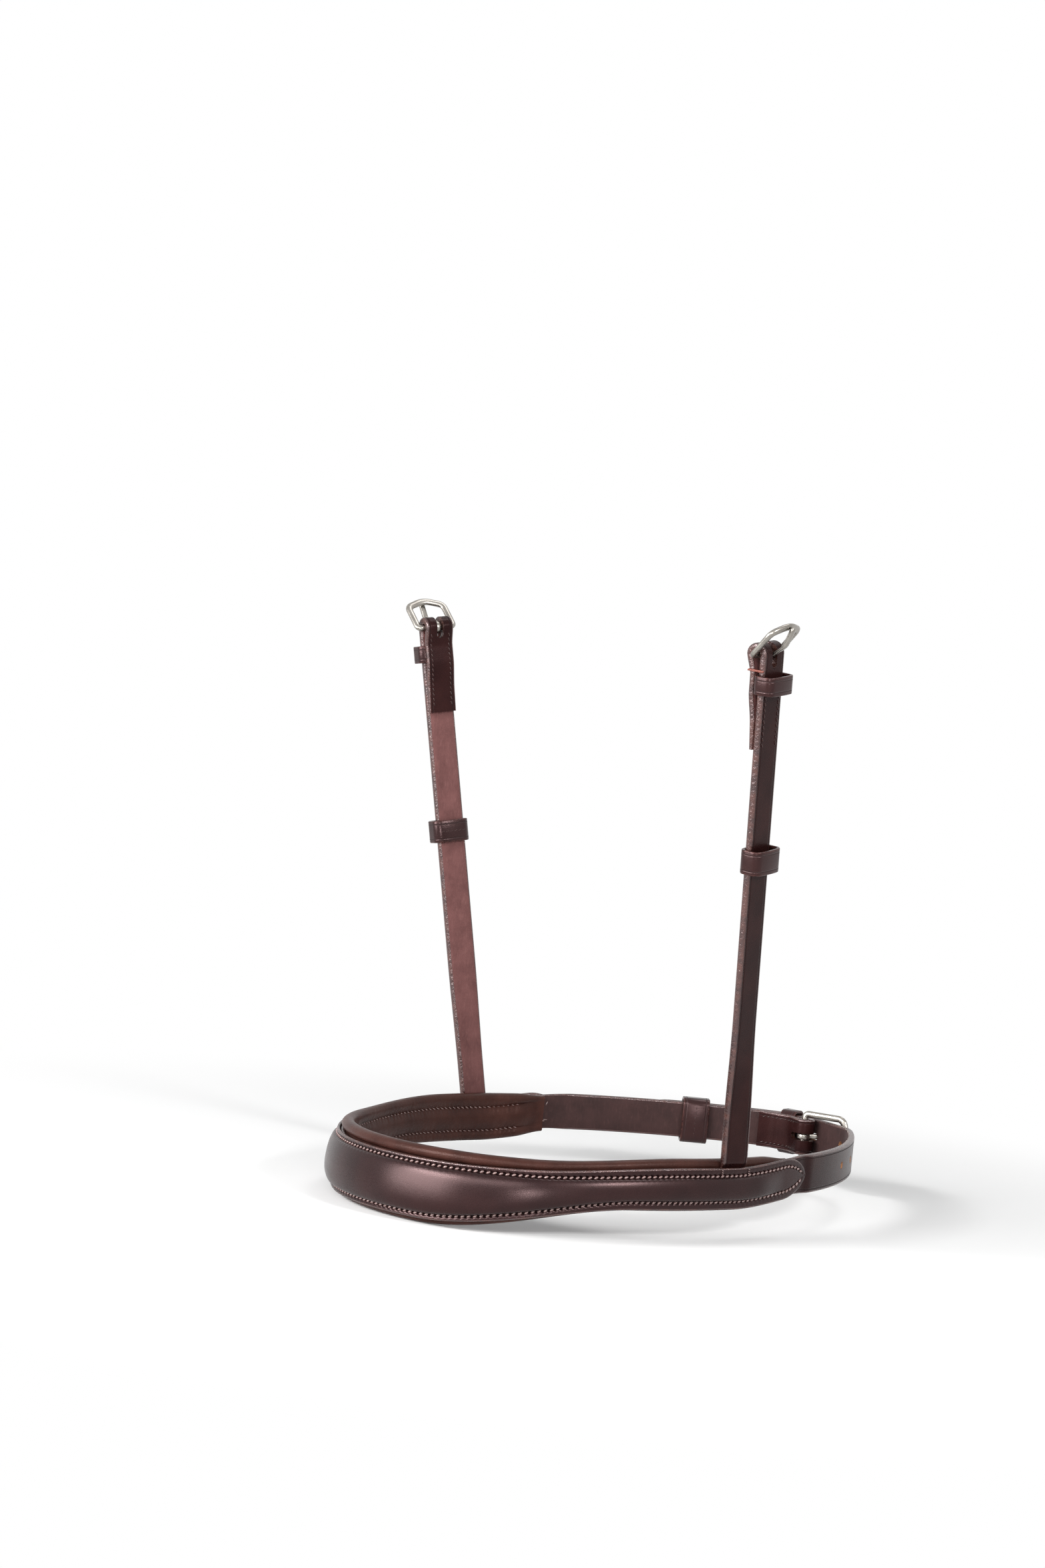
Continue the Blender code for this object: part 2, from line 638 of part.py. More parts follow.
def make_far_strap(materials):
    """The far jaw strap, turned back round the bar of the jaw buckle."""
    rings = []
    for run in runs_between(BACKING_RUN + FIT, BAR_RUN, [OUTER_RUN, STRAP_RUN]):
        rings.append(jaw_ring(FAR, run, 0, jaw_middle(run), jaw_wall(run), jaw_width(run)))
    for along, out, wall, (forward_share, outward_share) in turned_back(JAW_CHAPE):
        point, outward, forward = plan(FAR, BAR_RUN + min(along, 0.0))
        centre = point + forward * max(along, 0.0) + outward * (STRAP_WALL / 2 + out) + UP * JAW_HEIGHT
        through = forward * forward_share + outward * outward_share
        rings.append(strap_ring(centre, through, UP, wall, JAW_WIDTH))
    strap = loft("far_jaw_strap", rings, materials["bridle"])
    point, outward, forward = plan(FAR, BAR_RUN)
    outline = slot_outline(point + UP * JAW_HEIGHT, UP, forward)
    cut(strap, [(outline, outward * (2 * TURN_RADIUS + STRAP_WALL))], "jaw_slot_cutter")


def make_jaw_keeper(name, run, length, wall, play, material, origin=None, parent=None):
    """A keeper that follows the band. Its points are given from an origin."""
    half, high = JAW_WIDTH / 2 + play, BILLET_OVER + STRAP_WALL + FIT
    inner = rounded_outline((-FIT, -half), (high, half), KEEPER_CORNER)
    outer = rounded_outline((-FIT - wall, -half - wall), (high + wall, half + wall), KEEPER_CORNER + wall)
    stations = [plan(FAR, run + length * (step / CORNER_STEPS - 0.5)) for step in range(CORNER_STEPS + 1)]
    skins = []
    for outline in (outer, inner):
        rings = []
        for point, outward, _ in stations:
            centre = point + UP * JAW_HEIGHT - (origin or Vector())
            rings.append([centre + outward * out + UP * up for out, up in outline])
        skins.append(rings)
    sleeve(name, *skins, material, parent)


def make_jaw_keepers(materials):
    """The fixed keeper behind the jaw buckle, and the loose one, which slides along the band: it turns about
    the middle of the band's side arc."""
    bridle, run = materials["bridle"], BAR_RUN - FIXED_BELOW_BAR
    make_jaw_keeper("jaw_fixed_keeper", run, FIXED_LENGTH, FIXED_WALL, PLAY, bridle)
    middle_of_arc = Vector((-SIDE_CENTRE_X, FRONT_Y + SIDE_CENTRE_BACK, JAW_HEIGHT))
    axis = add_empty("jaw_runner_axis", Matrix.Translation(middle_of_arc))
    run = BAR_RUN - JAW_RUNNER_PAST_BAR
    sizes = (JAW_RUNNER_LENGTH, RUNNER_WALL, JAW_RUNNER_PLAY)
    make_jaw_keeper("jaw_runner_keeper", run, *sizes, bridle, middle_of_arc, axis)


# Cheek straps


def cheek_axes(side, splay):
    """Directions across, along and out of a cheek strap that leans forwards and splays outwards."""
    _, outward, forward = plan(side, CHEEK_RUN)
    upright = UP * math.cos(splay) + outward * math.sin(splay)
    out = outward * math.cos(splay) - UP * math.sin(splay)
    along = upright * math.cos(CHEEK_LEAN) - forward * math.sin(CHEEK_LEAN)
    return along.cross(out), along, out


def fold_point(side):
    """Middle of the line where a cheek strap folds, just above the edge of the outer leather."""
    point, outward, _ = plan(side, CHEEK_RUN)
    height = middle(CHEEK_RUN) + half_height(CHEEK_RUN) + STRAP_WALL / 2 + 2 * FIT
    return point + outward * CHEEK_OUT + UP * height


def fold_frame(side):
    """Frame of a cheek strap, turned as the strap is above its twist."""
    straight = frame_at(fold_point(side), *cheek_axes(side, CHEEK_SPLAY))
    return straight @ Matrix.Rotation(side * CHEEK_TWIST, 4, "Y")


def tail_rings(side, margin):
    """The sewn-in end of a cheek strap, below the fold line, grown by a margin."""
    top = -STRAP_WALL / 2 - FIT
    bottom = top - TAIL_LENGTH - margin
    across = Vector((1, -side * math.tan(CHEEK_LEAN), 0))
    sizes = (Z_AXIS, across, TAIL_WALL, CHEEK_WIDTH + 2 * margin)
    return [strap_ring(Vector((0, y, BACKING_WALL / 2 - CHEEK_OUT)), *sizes) for y in (bottom, top)]


def tail_notch(side):
    """Outline of the notch in the backing that the tail lies in."""
    matrix = frame_at(fold_point(side), *cheek_axes(side, 0.0))
    low = tail_rings(side, FIT)[0]
    rise = Y_AXIS * (TAIL_LENGTH + OVERRUN)
    outline = [matrix @ point for point in (low[2], low[5], low[5] + rise, low[2] + rise)]
    return outline, matrix.to_3x3() @ Z_AXIS * (BACKING_WALL + OVERRUN / 2)


def cheek_ring(side, y, depth):
    """A cheek strap's outline at a height. It follows the band at its foot, and turns on its way up."""
    turn = Matrix.Rotation(-side * CHEEK_TWIST * (1 - ease(y, SQUARE_RUN, TWISTED_RUN)), 3, "Y")
    across = Vector((1, -side * math.tan(CHEEK_LEAN) * (1 - ease(y, 0, SQUARE_RUN)), 0))
    return strap_ring(Y_AXIS * y, turn @ Z_AXIS, turn @ across, depth, CHEEK_WIDTH)


def make_cheek_strap(name, side, material, fold):
    """A cheek strap from its rounded foot at the fold line to its end, turned back round the buckle's bar."""
    rings = []
    for share in ROUND_END_SHARES:
        rings.append(cheek_ring(side, -share * STRAP_WALL / 2, math.sqrt(1 - share * share) * STRAP_WALL))
    seat_low = RUNNER_HEIGHTS[side] + RUNNER_LENGTH / 2 + SEAT_MARGIN
    seat_high = CHEEK_LENGTH - CHEEK_CHAPE - SEAT_MARGIN
    turning = [lerp(SQUARE_RUN, TWISTED_RUN, share) for share in TWIST_RUN_SHARES]
    for y in (SQUARE_RUN, *turning, seat_low, seat_high, CHEEK_LENGTH):
        rings.append(cheek_ring(side, y, STRAP_WALL))
    for along, out, wall, through in turned_back(CHEEK_CHAPE):
        centre = Vector((0, CHEEK_LENGTH + along, out))
        rings.append(strap_ring(centre, Vector((0, *through)), X_AXIS, wall, CHEEK_WIDTH))
    strap = loft(f"{name}_cheek_strap", rings, material, fold)
    outline = slot_outline(Y_AXIS * CHEEK_LENGTH, X_AXIS, Y_AXIS)
    cut(strap, [(outline, Z_AXIS * (2 * TURN_RADIUS + STRAP_WALL))], f"{name}_slot_cutter")


def make_cheek(name, side, materials):
    """A cheek strap with its sewn-in tail, its two keepers, its buckle frame and its tongue."""
    bridle = materials["bridle"]
    tail = add_empty(f"{name}_tail_seat", frame_at(fold_point(side), *cheek_axes(side, 0.0)))
    loft(f"{name}_cheek_tail", tail_rings(side, 0.0), bridle, tail)
    fold = add_empty(f"{name}_cheek_fold", fold_frame(side))
    make_cheek_strap(name, side, bridle, fold)
    seat = Matrix.Translation(Y_AXIS * (CHEEK_LENGTH - FIXED_BELOW_BAR))
    fixed = add_empty(f"{name}_fixed_seat", seat, fold)
    make_keeper(f"{name}_fixed_keeper", FIXED_LENGTH, FIXED_WALL, bridle, fixed)
    runner = add_empty(f"{name}_runner_axis", Matrix.Translation(Y_AXIS * RUNNER_HEIGHTS[side]), fold)
    make_keeper(f"{name}_runner_keeper", RUNNER_LENGTH, RUNNER_WALL, bridle, runner)
    place = Matrix.Translation((0, CHEEK_LENGTH, -TURN_RADIUS)) @ Matrix.Rotation(CHEEK_TILT, 4, "X")
    bar = add_empty(f"{name}_buckle_bar", place, fold)
    make_buckle(name, CHEEK_WIDTH, CHEEK_REACH, CHEEK_TILT, materials["steel"], bar)


def make_keeper(name, length, wall, material, parent):
    """A keeper round a cheek strap, with room outside the strap for a billet."""
    half, low, high = CHEEK_WIDTH / 2 + PLAY, -STRAP_WALL / 2 - FIT, STRAP_WALL / 2 + BILLET_ROOM
    inner = rounded_outline((-half, low), (half, high), KEEPER_CORNER)
    outer = rounded_outline((-half - wall, low - wall), (half + wall, high + wall), KEEPER_CORNER + wall)
    ends = (-length / 2, length / 2)
    skins = [[[Vector((x, y, z)) for x, z in outline] for y in ends] for outline in (outer, inner)]
    sleeve(name, *skins, material, parent)


# Buckles


def frame_stations(half_width, reach):
    """Middle line of a buckle's frame as (x, y, width, depth), once round from one end of its bar."""
    side, foot, corner = half_width + ARM_WIDTH / 2, FRAME_FOOT, FRAME_CORNER
    bar, arm = (2 * BAR_RADIUS, 2 * BAR_RADIUS), (ARM_WIDTH, ARM_DEPTH)
    front = (FRONT_BAR_WIDTH, FRONT_BAR_DEPTH)
    right = [(x, y, *bar) for x, y in arc((side - foot, foot), foot, -math.pi / 2, -math.pi / 4, 1)]
    right += [(side, foot, *arm), (side, reach - corner, *arm)]
    turn = math.pi / 2 * BUCKLE_CORNER_SHARE
    right += [(x, y, *front) for x, y in arc((side - corner, reach - corner), corner, 0, turn, 3)[1:]]
    flat = side - corner
    arch = [(flat * share, reach + FRAME_ARCH * (1 - share * share), *front) for share in ARCH_SHARES]
    left = [(-x, y, width, depth) for x, y, width, depth in reversed(right)]
    return right + arch + left


def make_frame(name, strap_width, reach, material, bar):
    """The frame of a buckle, swept once round. Its bar lies along x through the origin."""
    stations = frame_stations(strap_width / 2 + PLAY, reach)
    circle = arc((0, 0), 1, 0, 2 * math.pi * (1 - 1 / BAR_SIDES), BAR_SIDES - 1)
    rings = []
    for i, (x, y, width, depth) in enumerate(stations):
        before, after = stations[i - 1], stations[(i + 1) % len(stations)]
        normal = Vector((after[1] - before[1], before[0] - after[0], 0)).normalized()
        centre = Vector((x, y, 0))
        rings.append([centre + normal * (a * width / 2) + Z_AXIS * (b * depth / 2) for a, b in circle])
    loft(f"{name}_buckle_frame", rings, material, bar, closed=True)


def make_tongue(name, reach, tilt, material, bar):
    """The tongue of a buckle: its eye round the bar, and its shank over the billet to the front bar."""
    path = [Vector((0, y, z)) for y, z in tongue_path(reach, tilt)]
    last = len(path) - 1
    rings = []
    for i, point in enumerate(path):
        tangent = (path[min(i + 1, last)] - path[max(i - 1, 0)]).normalized()
        depth = TONGUE_WALL if i < EYE_STEPS or i == last else TONGUE_DEPTH
        width = TONGUE_TIP_WIDTH if i == last else TONGUE_WIDTH
        rings.append(strap_ring(point, Vector((0, -tangent.z, tangent.y)), X_AXIS, depth, width))
    loft(f"{name}_buckle_tongue", rings, material, bar)


def make_buckle(name, strap_width, reach, tilt, material, bar):
    make_frame(name, strap_width, reach, material, bar)
    make_tongue(name, reach, tilt, material, bar)


def knee():
    """Where the tongue bends down onto the billet, as (along the strap, out from the bar's axis)."""
    return Vector((KNEE_AHEAD, KNEE_OUT))


def eye_end():
    """Angle at which the tongue leaves its eye in a straight line for its knee."""
    return math.atan2(KNEE_OUT, KNEE_AHEAD) + math.acos(TONGUE_RADIUS / knee().length)


def tongue_crossing():
    """How far ahead of the bar the tongue passes through the middle of the billet."""
    leaves = Vector((math.cos(eye_end()), math.sin(eye_end()))) * TONGUE_RADIUS
    out = BAR_BEHIND + BILLET_OVER + STRAP_WALL / 2
    ahead = lerp(leaves.x, KNEE_AHEAD, (out - leaves.y) / (KNEE_OUT - leaves.y))
    return ahead - HOLE_STRETCH / 8


def tongue_path(reach, tilt):
    """Middle line of a tongue in its frame's (y, z): round the bar, up through the strap and the billet to
    the knee, and down to rest on the front bar."""
    turn = Matrix.Rotation(-tilt, 2)
    angle = eye_end() - tilt
    eye = arc((0, 0), TONGUE_RADIUS, angle + TONGUE_TURN, angle, EYE_STEPS)
    rest = Vector((reach + FRAME_ARCH, FRONT_BAR_DEPTH / 2 + FIT + TONGUE_DEPTH / 2))
    bend = turn @ knee()
    down = (rest - bend).normalized()
    up = (bend - Vector(eye[-1])).normalized()
    before, after = bend - up * KNEE_ROUNDING, bend + down * KNEE_ROUNDING
    rounded = (before + after + 2 * bend) / 4
    return eye + [tuple(point) for point in (before, rounded, after, rest, rest + down * TONGUE_OVERHANG)]


def make_jaw_buckle(materials):
    """The buckle that the far jaw strap carries, lying open towards the near side."""
    point, outward, forward = plan(FAR, BAR_RUN)
    place = frame_at(point - outward * BAR_BEHIND + UP * JAW_HEIGHT, UP, forward, outward)
    bar = add_empty("jaw_buckle_bar", place @ Matrix.Rotation(JAW_TILT, 4, "X"))
    make_buckle("jaw", JAW_WIDTH, JAW_REACH, JAW_TILT, materials["steel"], bar)


def main():
    for left_over in list(bpy.data.objects):
        bpy.data.objects.remove(left_over)
    materials = make_materials()
    make_nose_piece(materials)
    make_near_billet(materials)
    make_far_strap(materials)
    make_jaw_keepers(materials)
    make_jaw_buckle(materials)
    for name, side in SIDES:
        make_cheek(name, side, materials)


main()
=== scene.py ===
# %% [markdown]
# A cavesson noseband, dressed for its picture. The rigid model is loaded first and stays as it is.
# It carries the joints, so each finished piece here only says which body of it to move with, except the cheek straps,
# which say none.

# %% Load the model
import bisect
import json
import math
import bmesh
import bpy
from mathutils import Matrix, Vector, noise

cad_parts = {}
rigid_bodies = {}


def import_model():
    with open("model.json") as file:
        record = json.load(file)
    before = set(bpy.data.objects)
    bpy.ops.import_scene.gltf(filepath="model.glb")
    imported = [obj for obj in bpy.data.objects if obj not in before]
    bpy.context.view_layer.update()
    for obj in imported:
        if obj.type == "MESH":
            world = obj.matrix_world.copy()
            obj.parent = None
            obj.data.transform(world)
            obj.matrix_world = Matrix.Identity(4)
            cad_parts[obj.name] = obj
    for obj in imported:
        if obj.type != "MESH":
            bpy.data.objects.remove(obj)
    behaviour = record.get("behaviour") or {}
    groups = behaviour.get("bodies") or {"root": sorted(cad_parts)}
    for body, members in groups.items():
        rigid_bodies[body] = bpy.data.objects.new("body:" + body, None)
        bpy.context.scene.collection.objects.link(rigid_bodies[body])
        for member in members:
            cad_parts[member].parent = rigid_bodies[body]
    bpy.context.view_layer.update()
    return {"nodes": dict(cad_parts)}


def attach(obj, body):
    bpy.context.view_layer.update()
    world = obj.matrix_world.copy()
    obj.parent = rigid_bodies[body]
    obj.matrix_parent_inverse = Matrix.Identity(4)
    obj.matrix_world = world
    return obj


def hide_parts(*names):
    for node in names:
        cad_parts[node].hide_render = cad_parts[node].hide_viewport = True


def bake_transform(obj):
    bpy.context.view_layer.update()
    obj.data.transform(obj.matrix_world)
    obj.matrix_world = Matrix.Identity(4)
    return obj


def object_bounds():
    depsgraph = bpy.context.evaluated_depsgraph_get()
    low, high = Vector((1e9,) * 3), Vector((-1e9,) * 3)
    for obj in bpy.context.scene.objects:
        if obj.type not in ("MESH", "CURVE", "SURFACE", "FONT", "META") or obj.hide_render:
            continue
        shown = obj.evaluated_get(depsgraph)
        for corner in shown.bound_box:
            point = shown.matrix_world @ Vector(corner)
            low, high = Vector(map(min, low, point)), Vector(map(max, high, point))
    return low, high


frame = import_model()
MM = 0.001


def add_object(name, data):
    made = bpy.data.objects.new(name, data)
    bpy.context.scene.collection.objects.link(made)
    return made


# %% [markdown]
# The picture is taken from the horse's near side, almost level and from a little over a metre.
# The camera was fitted to the ring, the buckles and the cheek straps: the angle round the horse,
# the height of the eye, the roll of the camera and its distance all come from where those lie.
# A long lens keeps the near and the far strap close in size, as they are in the picture.

# %% Camera
IMAGE_WIDTH, IMAGE_HEIGHT = 1568, 2352
FOCAL_PIXELS = 4600
VIEW_TURN, VIEW_HEIGHT, VIEW_ROLL = math.radians(50), math.radians(1.71), math.radians(5.8)
VIEW_DISTANCE = 1285 * MM
ANCHOR = Vector((0, -3.42 * MM, 16.45 * MM))  # this place is seen at the pixel below
ANCHOR_PIXEL = (907.4, 1685.9)
SENSOR_HEIGHT = 24


def add_camera():
    forward = Vector((-math.sin(VIEW_TURN) * math.cos(VIEW_HEIGHT), math.cos(VIEW_TURN) * math.cos(VIEW_HEIGHT),
                      -math.sin(VIEW_HEIGHT)))
    level = Vector((math.cos(VIEW_TURN), math.sin(VIEW_TURN), 0))
    upright = level.cross(forward)
    right = level * math.cos(VIEW_ROLL) + upright * math.sin(VIEW_ROLL)
    up = upright * math.cos(VIEW_ROLL) - level * math.sin(VIEW_ROLL)
    across = (ANCHOR_PIXEL[0] - IMAGE_WIDTH / 2) / FOCAL_PIXELS
    down = (ANCHOR_PIXEL[1] - IMAGE_HEIGHT / 2) / FOCAL_PIXELS
    eye = ANCHOR - (forward + right * across - up * down) * VIEW_DISTANCE
    lens = bpy.data.cameras.new("camera")
    lens.sensor_fit = "VERTICAL"
    lens.sensor_height = SENSOR_HEIGHT
    lens.lens = FOCAL_PIXELS / IMAGE_HEIGHT * SENSOR_HEIGHT
    camera = add_object("camera", lens)
    camera.matrix_world = Matrix((right, up, -forward)).transposed().to_4x4()
    camera.matrix_world.translation = eye
    bpy.context.scene.camera = camera
    return camera


camera = add_camera()
print("camera stands at", [round(c, 3) for c in camera.matrix_world.translation])

# %% [markdown]
# Every leather piece is laid out on the same plan: an arc round the nose, a long arc along each
# side, a tight corner and a straight bit behind the jaw. A place on it is a side (+1 near, -1 far)
# and a run, the distance along the plan from the middle of the nose. These are the sizes that the
# rigid model was made to, so a finished piece fills the space of the plain one.

# %% Sizes and the plan
NEAR, FAR = 1, -1
SIDES = (("near", NEAR), ("far", FAR))
FIT = 0.3 * MM  # air between two layers, as in the plain model
FRONT_RADIUS, FRONT_TURN = 70.4 * MM, math.radians(62)
SIDE_RADIUS, SIDE_TURN = 165 * MM, math.radians(78)
REAR_STRAIGHT = 24 * MM
FRONT_END = FRONT_RADIUS * FRONT_TURN
SIDE_END = FRONT_END + SIDE_RADIUS * SIDE_TURN
SIDE_CENTRE_X = (FRONT_RADIUS - SIDE_RADIUS) * math.sin(FRONT_TURN)
SIDE_CENTRE_BACK = FRONT_RADIUS + (SIDE_RADIUS - FRONT_RADIUS) * math.cos(FRONT_TURN)
CORNER_START = FRONT_TURN + SIDE_TURN
CORNER_RADIUS = (SIDE_CENTRE_X + SIDE_RADIUS * math.sin(CORNER_START) - REAR_STRAIGHT / 2) / math.sin(CORNER_START)
CORNER_CENTRE_BACK = SIDE_CENTRE_BACK - (SIDE_RADIUS - CORNER_RADIUS) * math.cos(CORNER_START)
CORNER_END = SIDE_END + CORNER_RADIUS * (math.pi - CORNER_START)
HALF_ROUND = CORNER_END + REAR_STRAIGHT / 2
FRONT_Y = -(CORNER_CENTRE_BACK + CORNER_RADIUS) / 2
CHEEK_RUN = FRONT_END + SIDE_RADIUS * (math.pi / 2 - FRONT_TURN)
UP = Vector((0, 0, 1))


def lerp(first, second, share):
    return first + (second - first) * share


def ease(value, start, end):
    """0 before start, 1 after end, smooth between."""
    share = min(max((value - start) / (end - start), 0.0), 1.0)
    return share * share * (3 - 2 * share)


def arc(centre, radius, start, end, steps):
    angles = [lerp(start, end, i / steps) for i in range(steps + 1)]
    return [(centre[0] + radius * math.cos(a), centre[1] + radius * math.sin(a)) for a in angles]


def plan(side, run):
    """Point, outward direction and forward direction at a run."""
    if run > HALF_ROUND or run < 0:
        point, outward, forward = plan(-side, 2 * HALF_ROUND - run if run > 0 else -run)
        return point, outward, -forward
    if run < FRONT_END:
        heading = run / FRONT_RADIUS
        x, back = FRONT_RADIUS * math.sin(heading), FRONT_RADIUS * (1 - math.cos(heading))
    elif run < SIDE_END:
        heading = FRONT_TURN + (run - FRONT_END) / SIDE_RADIUS
        x = SIDE_CENTRE_X + SIDE_RADIUS * math.sin(heading)
        back = SIDE_CENTRE_BACK - SIDE_RADIUS * math.cos(heading)
    elif run < CORNER_END:
        heading = CORNER_START + (run - SIDE_END) / CORNER_RADIUS
        x = REAR_STRAIGHT / 2 + CORNER_RADIUS * math.sin(heading)
        back = CORNER_CENTRE_BACK - CORNER_RADIUS * math.cos(heading)
    else:
        heading, x, back = math.pi, HALF_ROUND - run, CORNER_CENTRE_BACK + CORNER_RADIUS
    outward = Vector((side * math.sin(heading), -math.cos(heading), 0))
    forward = Vector((side * math.cos(heading), math.sin(heading), 0))
    return Vector((side * x, FRONT_Y + back, 0)), outward, forward


def runs_between(start, end, step, extra=()):
    """Even steps from start to end, and the extra ones, in order."""
    count = max(round((end - start) / step), 1)
    return sorted(set([lerp(start, end, i / count) for i in range(count + 1)] + list(extra)))


print("the band is", round(2 * HALF_ROUND / MM), "mm round")

# %% [markdown]
# Shader sums are easier to read as sums. The first class wraps one number socket, and Python's own
# signs add the Math nodes, so 1 - mask * 0.3 works. A second class holds a material's nodes.
# Colours are written as red, green and blue, and get their fourth number where a socket needs it.

# %% Shader sums
class Number:
    def __init__(self, nodes, socket):
        self.nodes, self.socket = nodes, socket

    def sum(self, operation, first, second=None):
        given = {0: first} if second is None else {0: first, 1: second}
        return self.nodes.add("ShaderNodeMath", {"operation": operation}, given)["Value"]

    def __add__(self, other): return self.sum("ADD", self, other)
    def __radd__(self, other): return self.sum("ADD", other, self)
    def __sub__(self, other): return self.sum("SUBTRACT", self, other)
    def __rsub__(self, other): return self.sum("SUBTRACT", other, self)
    def __mul__(self, other): return self.sum("MULTIPLY", self, other)
    def __rmul__(self, other): return self.sum("MULTIPLY", other, self)
    def __truediv__(self, other): return self.sum("DIVIDE", self, other)
    def __pow__(self, other): return self.sum("POWER", self, other)
    def __abs__(self): return self.sum("ABSOLUTE", self)

    def most(self, other): return self.sum("MAXIMUM", self, other)
    def remainder(self): return self.sum("FRACT", self)

    def between(self, low, high):
        """0 below low, 1 above high, smooth between. It falls where low is above high."""
        given = {"Value": self, "From Min": low, "From Max": high}
        return self.nodes.add("ShaderNodeMapRange", {"interpolation_type": "SMOOTHSTEP"}, given)["Result"]


def join(tree, socket, value):
    """Links an input to another node's output, or gives it a plain value."""
    if isinstance(value, Number):
        value = value.socket
    if isinstance(value, bpy.types.NodeSocket):
        tree.links.new(value, socket)
    else:
        socket.default_value = (*value, 1) if socket.type == "RGBA" else value


def add_node(tree, kind, settings=None, given=None):
    node = tree.nodes.new(kind)
    for setting, value in (settings or {}).items():
        setattr(node, setting, value)
    for socket, value in (given or {}).items():
        join(tree, node.inputs[socket], value)
    return node


class Nodes:
    """The nodes of one material, built from an empty principled shader."""

    def __init__(self, name, colour, roughness, **constants):
        self.material = bpy.data.materials.new(name)
        self.material.use_nodes = True
        self.tree = self.material.node_tree
        self.shader = self.tree.nodes["Principled BSDF"]
        self.material.diffuse_color = (*colour, 1)
        self.set("Base Color", colour)
        self.set("Roughness", roughness)
        for socket, value in constants.items():
            self.set(socket.replace("_", " "), value)

    def set(self, socket, value):
        join(self.tree, self.shader.inputs[socket], value)

    def add(self, kind, settings=None, given=None):
        """Adds a node and gives back its outputs by name. Numbers come back ready for sums."""
        outputs = {}
        for output in add_node(self.tree, kind, settings, given).outputs:
            if output.enabled and output.name not in outputs:
                outputs[output.name] = Number(self, output) if output.type == "VALUE" else output
        return outputs

    def place(self, stretch=(1, 1, 1)):
        point = self.add("ShaderNodeTexCoord")["Object"]
        return self.add("ShaderNodeVectorMath", {"operation": "MULTIPLY"}, {0: point, 1: stretch})["Vector"]

    def noise(self, size, detail=3, stretch=(1, 1, 1), rough=0.5):
        """Cloudy noise between 0 and 1, with blotches of about the size given."""
        given = {"Vector": self.place(stretch), "Scale": 1 / size, "Detail": detail, "Roughness": rough}
        outputs = self.add("ShaderNodeTexNoise", {}, given)
        return outputs["Fac" if "Fac" in outputs else "Factor"]

    def cells(self, size):
        return self.add("ShaderNodeTexVoronoi", {}, {"Vector": self.place(), "Scale": 1 / size})["Distance"]

    def lay(self):
        """Across, along and half width of the piece, as its mesh holds them, in metres."""
        stored = self.add("ShaderNodeAttribute", {"attribute_name": "lay"})["Vector"]
        split = self.add("ShaderNodeSeparateXYZ", {}, {"Vector": stored})
        return split["X"], split["Y"], split["Z"]

    def mix(self, share, first, second):
        """A colour between two, which are the node's sockets 6 and 7."""
        return self.add("ShaderNodeMix", {"data_type": "RGBA"}, {"Factor": share, 6: first, 7: second})["Result"]

    def done(self, colour, roughness, height, depth, strength=0.8):
        """Sets what the finish looks like, with bumps of this height and depth."""
        given = {"Height": height, "Distance": depth, "Strength": strength}
        self.set("Base Color", colour)
        self.set("Roughness", roughness)
        self.set("Normal", self.add("ShaderNodeBump", {}, given)["Normal"])
        return self.material


def speckled(name, colour, rough, size, detail, low, high, depth, strength=0.8, **constants):
    """A plain finish between two colours, with a noise that is also its bumps."""
    nodes = Nodes(name, colour, rough, **constants)
    specks = nodes.noise(size, detail)
    return nodes.done(nodes.mix(specks.between(0.3, 0.7), low, high), rough, specks, depth, strength)


# %% [markdown]
# Bridle leather is shaved, dyed, waxed and polished. Its grain side is a very dark plum brown
# with fine pores and a wax gloss that breaks up softly. Handling wears the edges lighter. A maker
# runs a hot iron along each strap a little in from the edge, which leaves a fine crease.
# The pores are cells about half a millimetre wide, and the crease follows the piece's own layout. The crease and the
# needle's holes are painted near black, as painted shade.
# Keepers are rubbed more than straps, so they shine more. The inside of the jaw strap is waxed dark, and is painted
# darker still as painted shade, since it lies inside the ring. Inside a punched hole the dye stops, and the raw hide
# is tan.

# %% Leather
CREASE_IN, CREASE_WIDE = 1.6 * MM, 0.4 * MM
STITCH_PITCH = 2.5 * MM
STITCH_SLANT = 0.35  # how far the needle's holes slant, for each step away from the row
PIT_ALONG, PIT_ACROSS = 0.55 * MM, 0.75 * MM  # how far a needle's hole reaches
# the second colour is painted shade, for the creases and the needle's holes
WORN_COLOUR, PAINTED_SHADE_COLOUR = (0.075, 0.026, 0.020), (0.005, 0.003, 0.003)


def grain_leather(name, strap, pore, polish, smooth, low, high):
    """The grain side. A strap has creases, and the nose piece has the needle's holes along each row; both are painted
    near black, as painted shade.
    """
    nodes = Nodes(name, high, smooth, IOR=1.5, Specular_IOR_Level=polish, Specular_Tint=(1.0, 0.67, 0.67))
    across, along, half = nodes.lay()
    clouds = nodes.noise(14 * MM, 3)
    flecks = nodes.noise(1.6 * MM, 4)
    pores = nodes.cells(pore).between(0.0, 0.55)
    colour = nodes.mix(clouds.between(0.3, 0.7), low, high)
    if strap:
        inside = half - abs(across)
        crease = abs(inside - CREASE_IN).between(0.0, CREASE_WIDE)
        # painted shade: the crease line is mixed towards near black
        dark, height = crease.between(0.7, 0.0) * 0.7, pores * 0.4 + flecks * 0.5 + crease * 3.2
    else:
        inside = half
        beat = (along / STITCH_PITCH).remainder()
        reach = (abs(beat - 0.5) * STITCH_PITCH / PIT_ALONG) ** 2 + (across / PIT_ACROSS) ** 2
        reach = reach.between(1.0, 0.2)
        # painted shade: each needle's hole is mixed towards near black
        dark, height = reach * 0.85, pores * 0.12 + flecks * 0.4 - reach * 1.5
    worn = inside.between(0.9 * MM, 0.1 * MM) * flecks.between(0.35, 0.62)
    colour = nodes.mix(worn * 0.45, colour, WORN_COLOUR)
    colour = nodes.mix(dark, colour, PAINTED_SHADE_COLOUR)
    return nodes.done(colour, smooth + clouds * 0.07 + pores * 0.06 + dark * 0.5, height, 0.05 * MM)


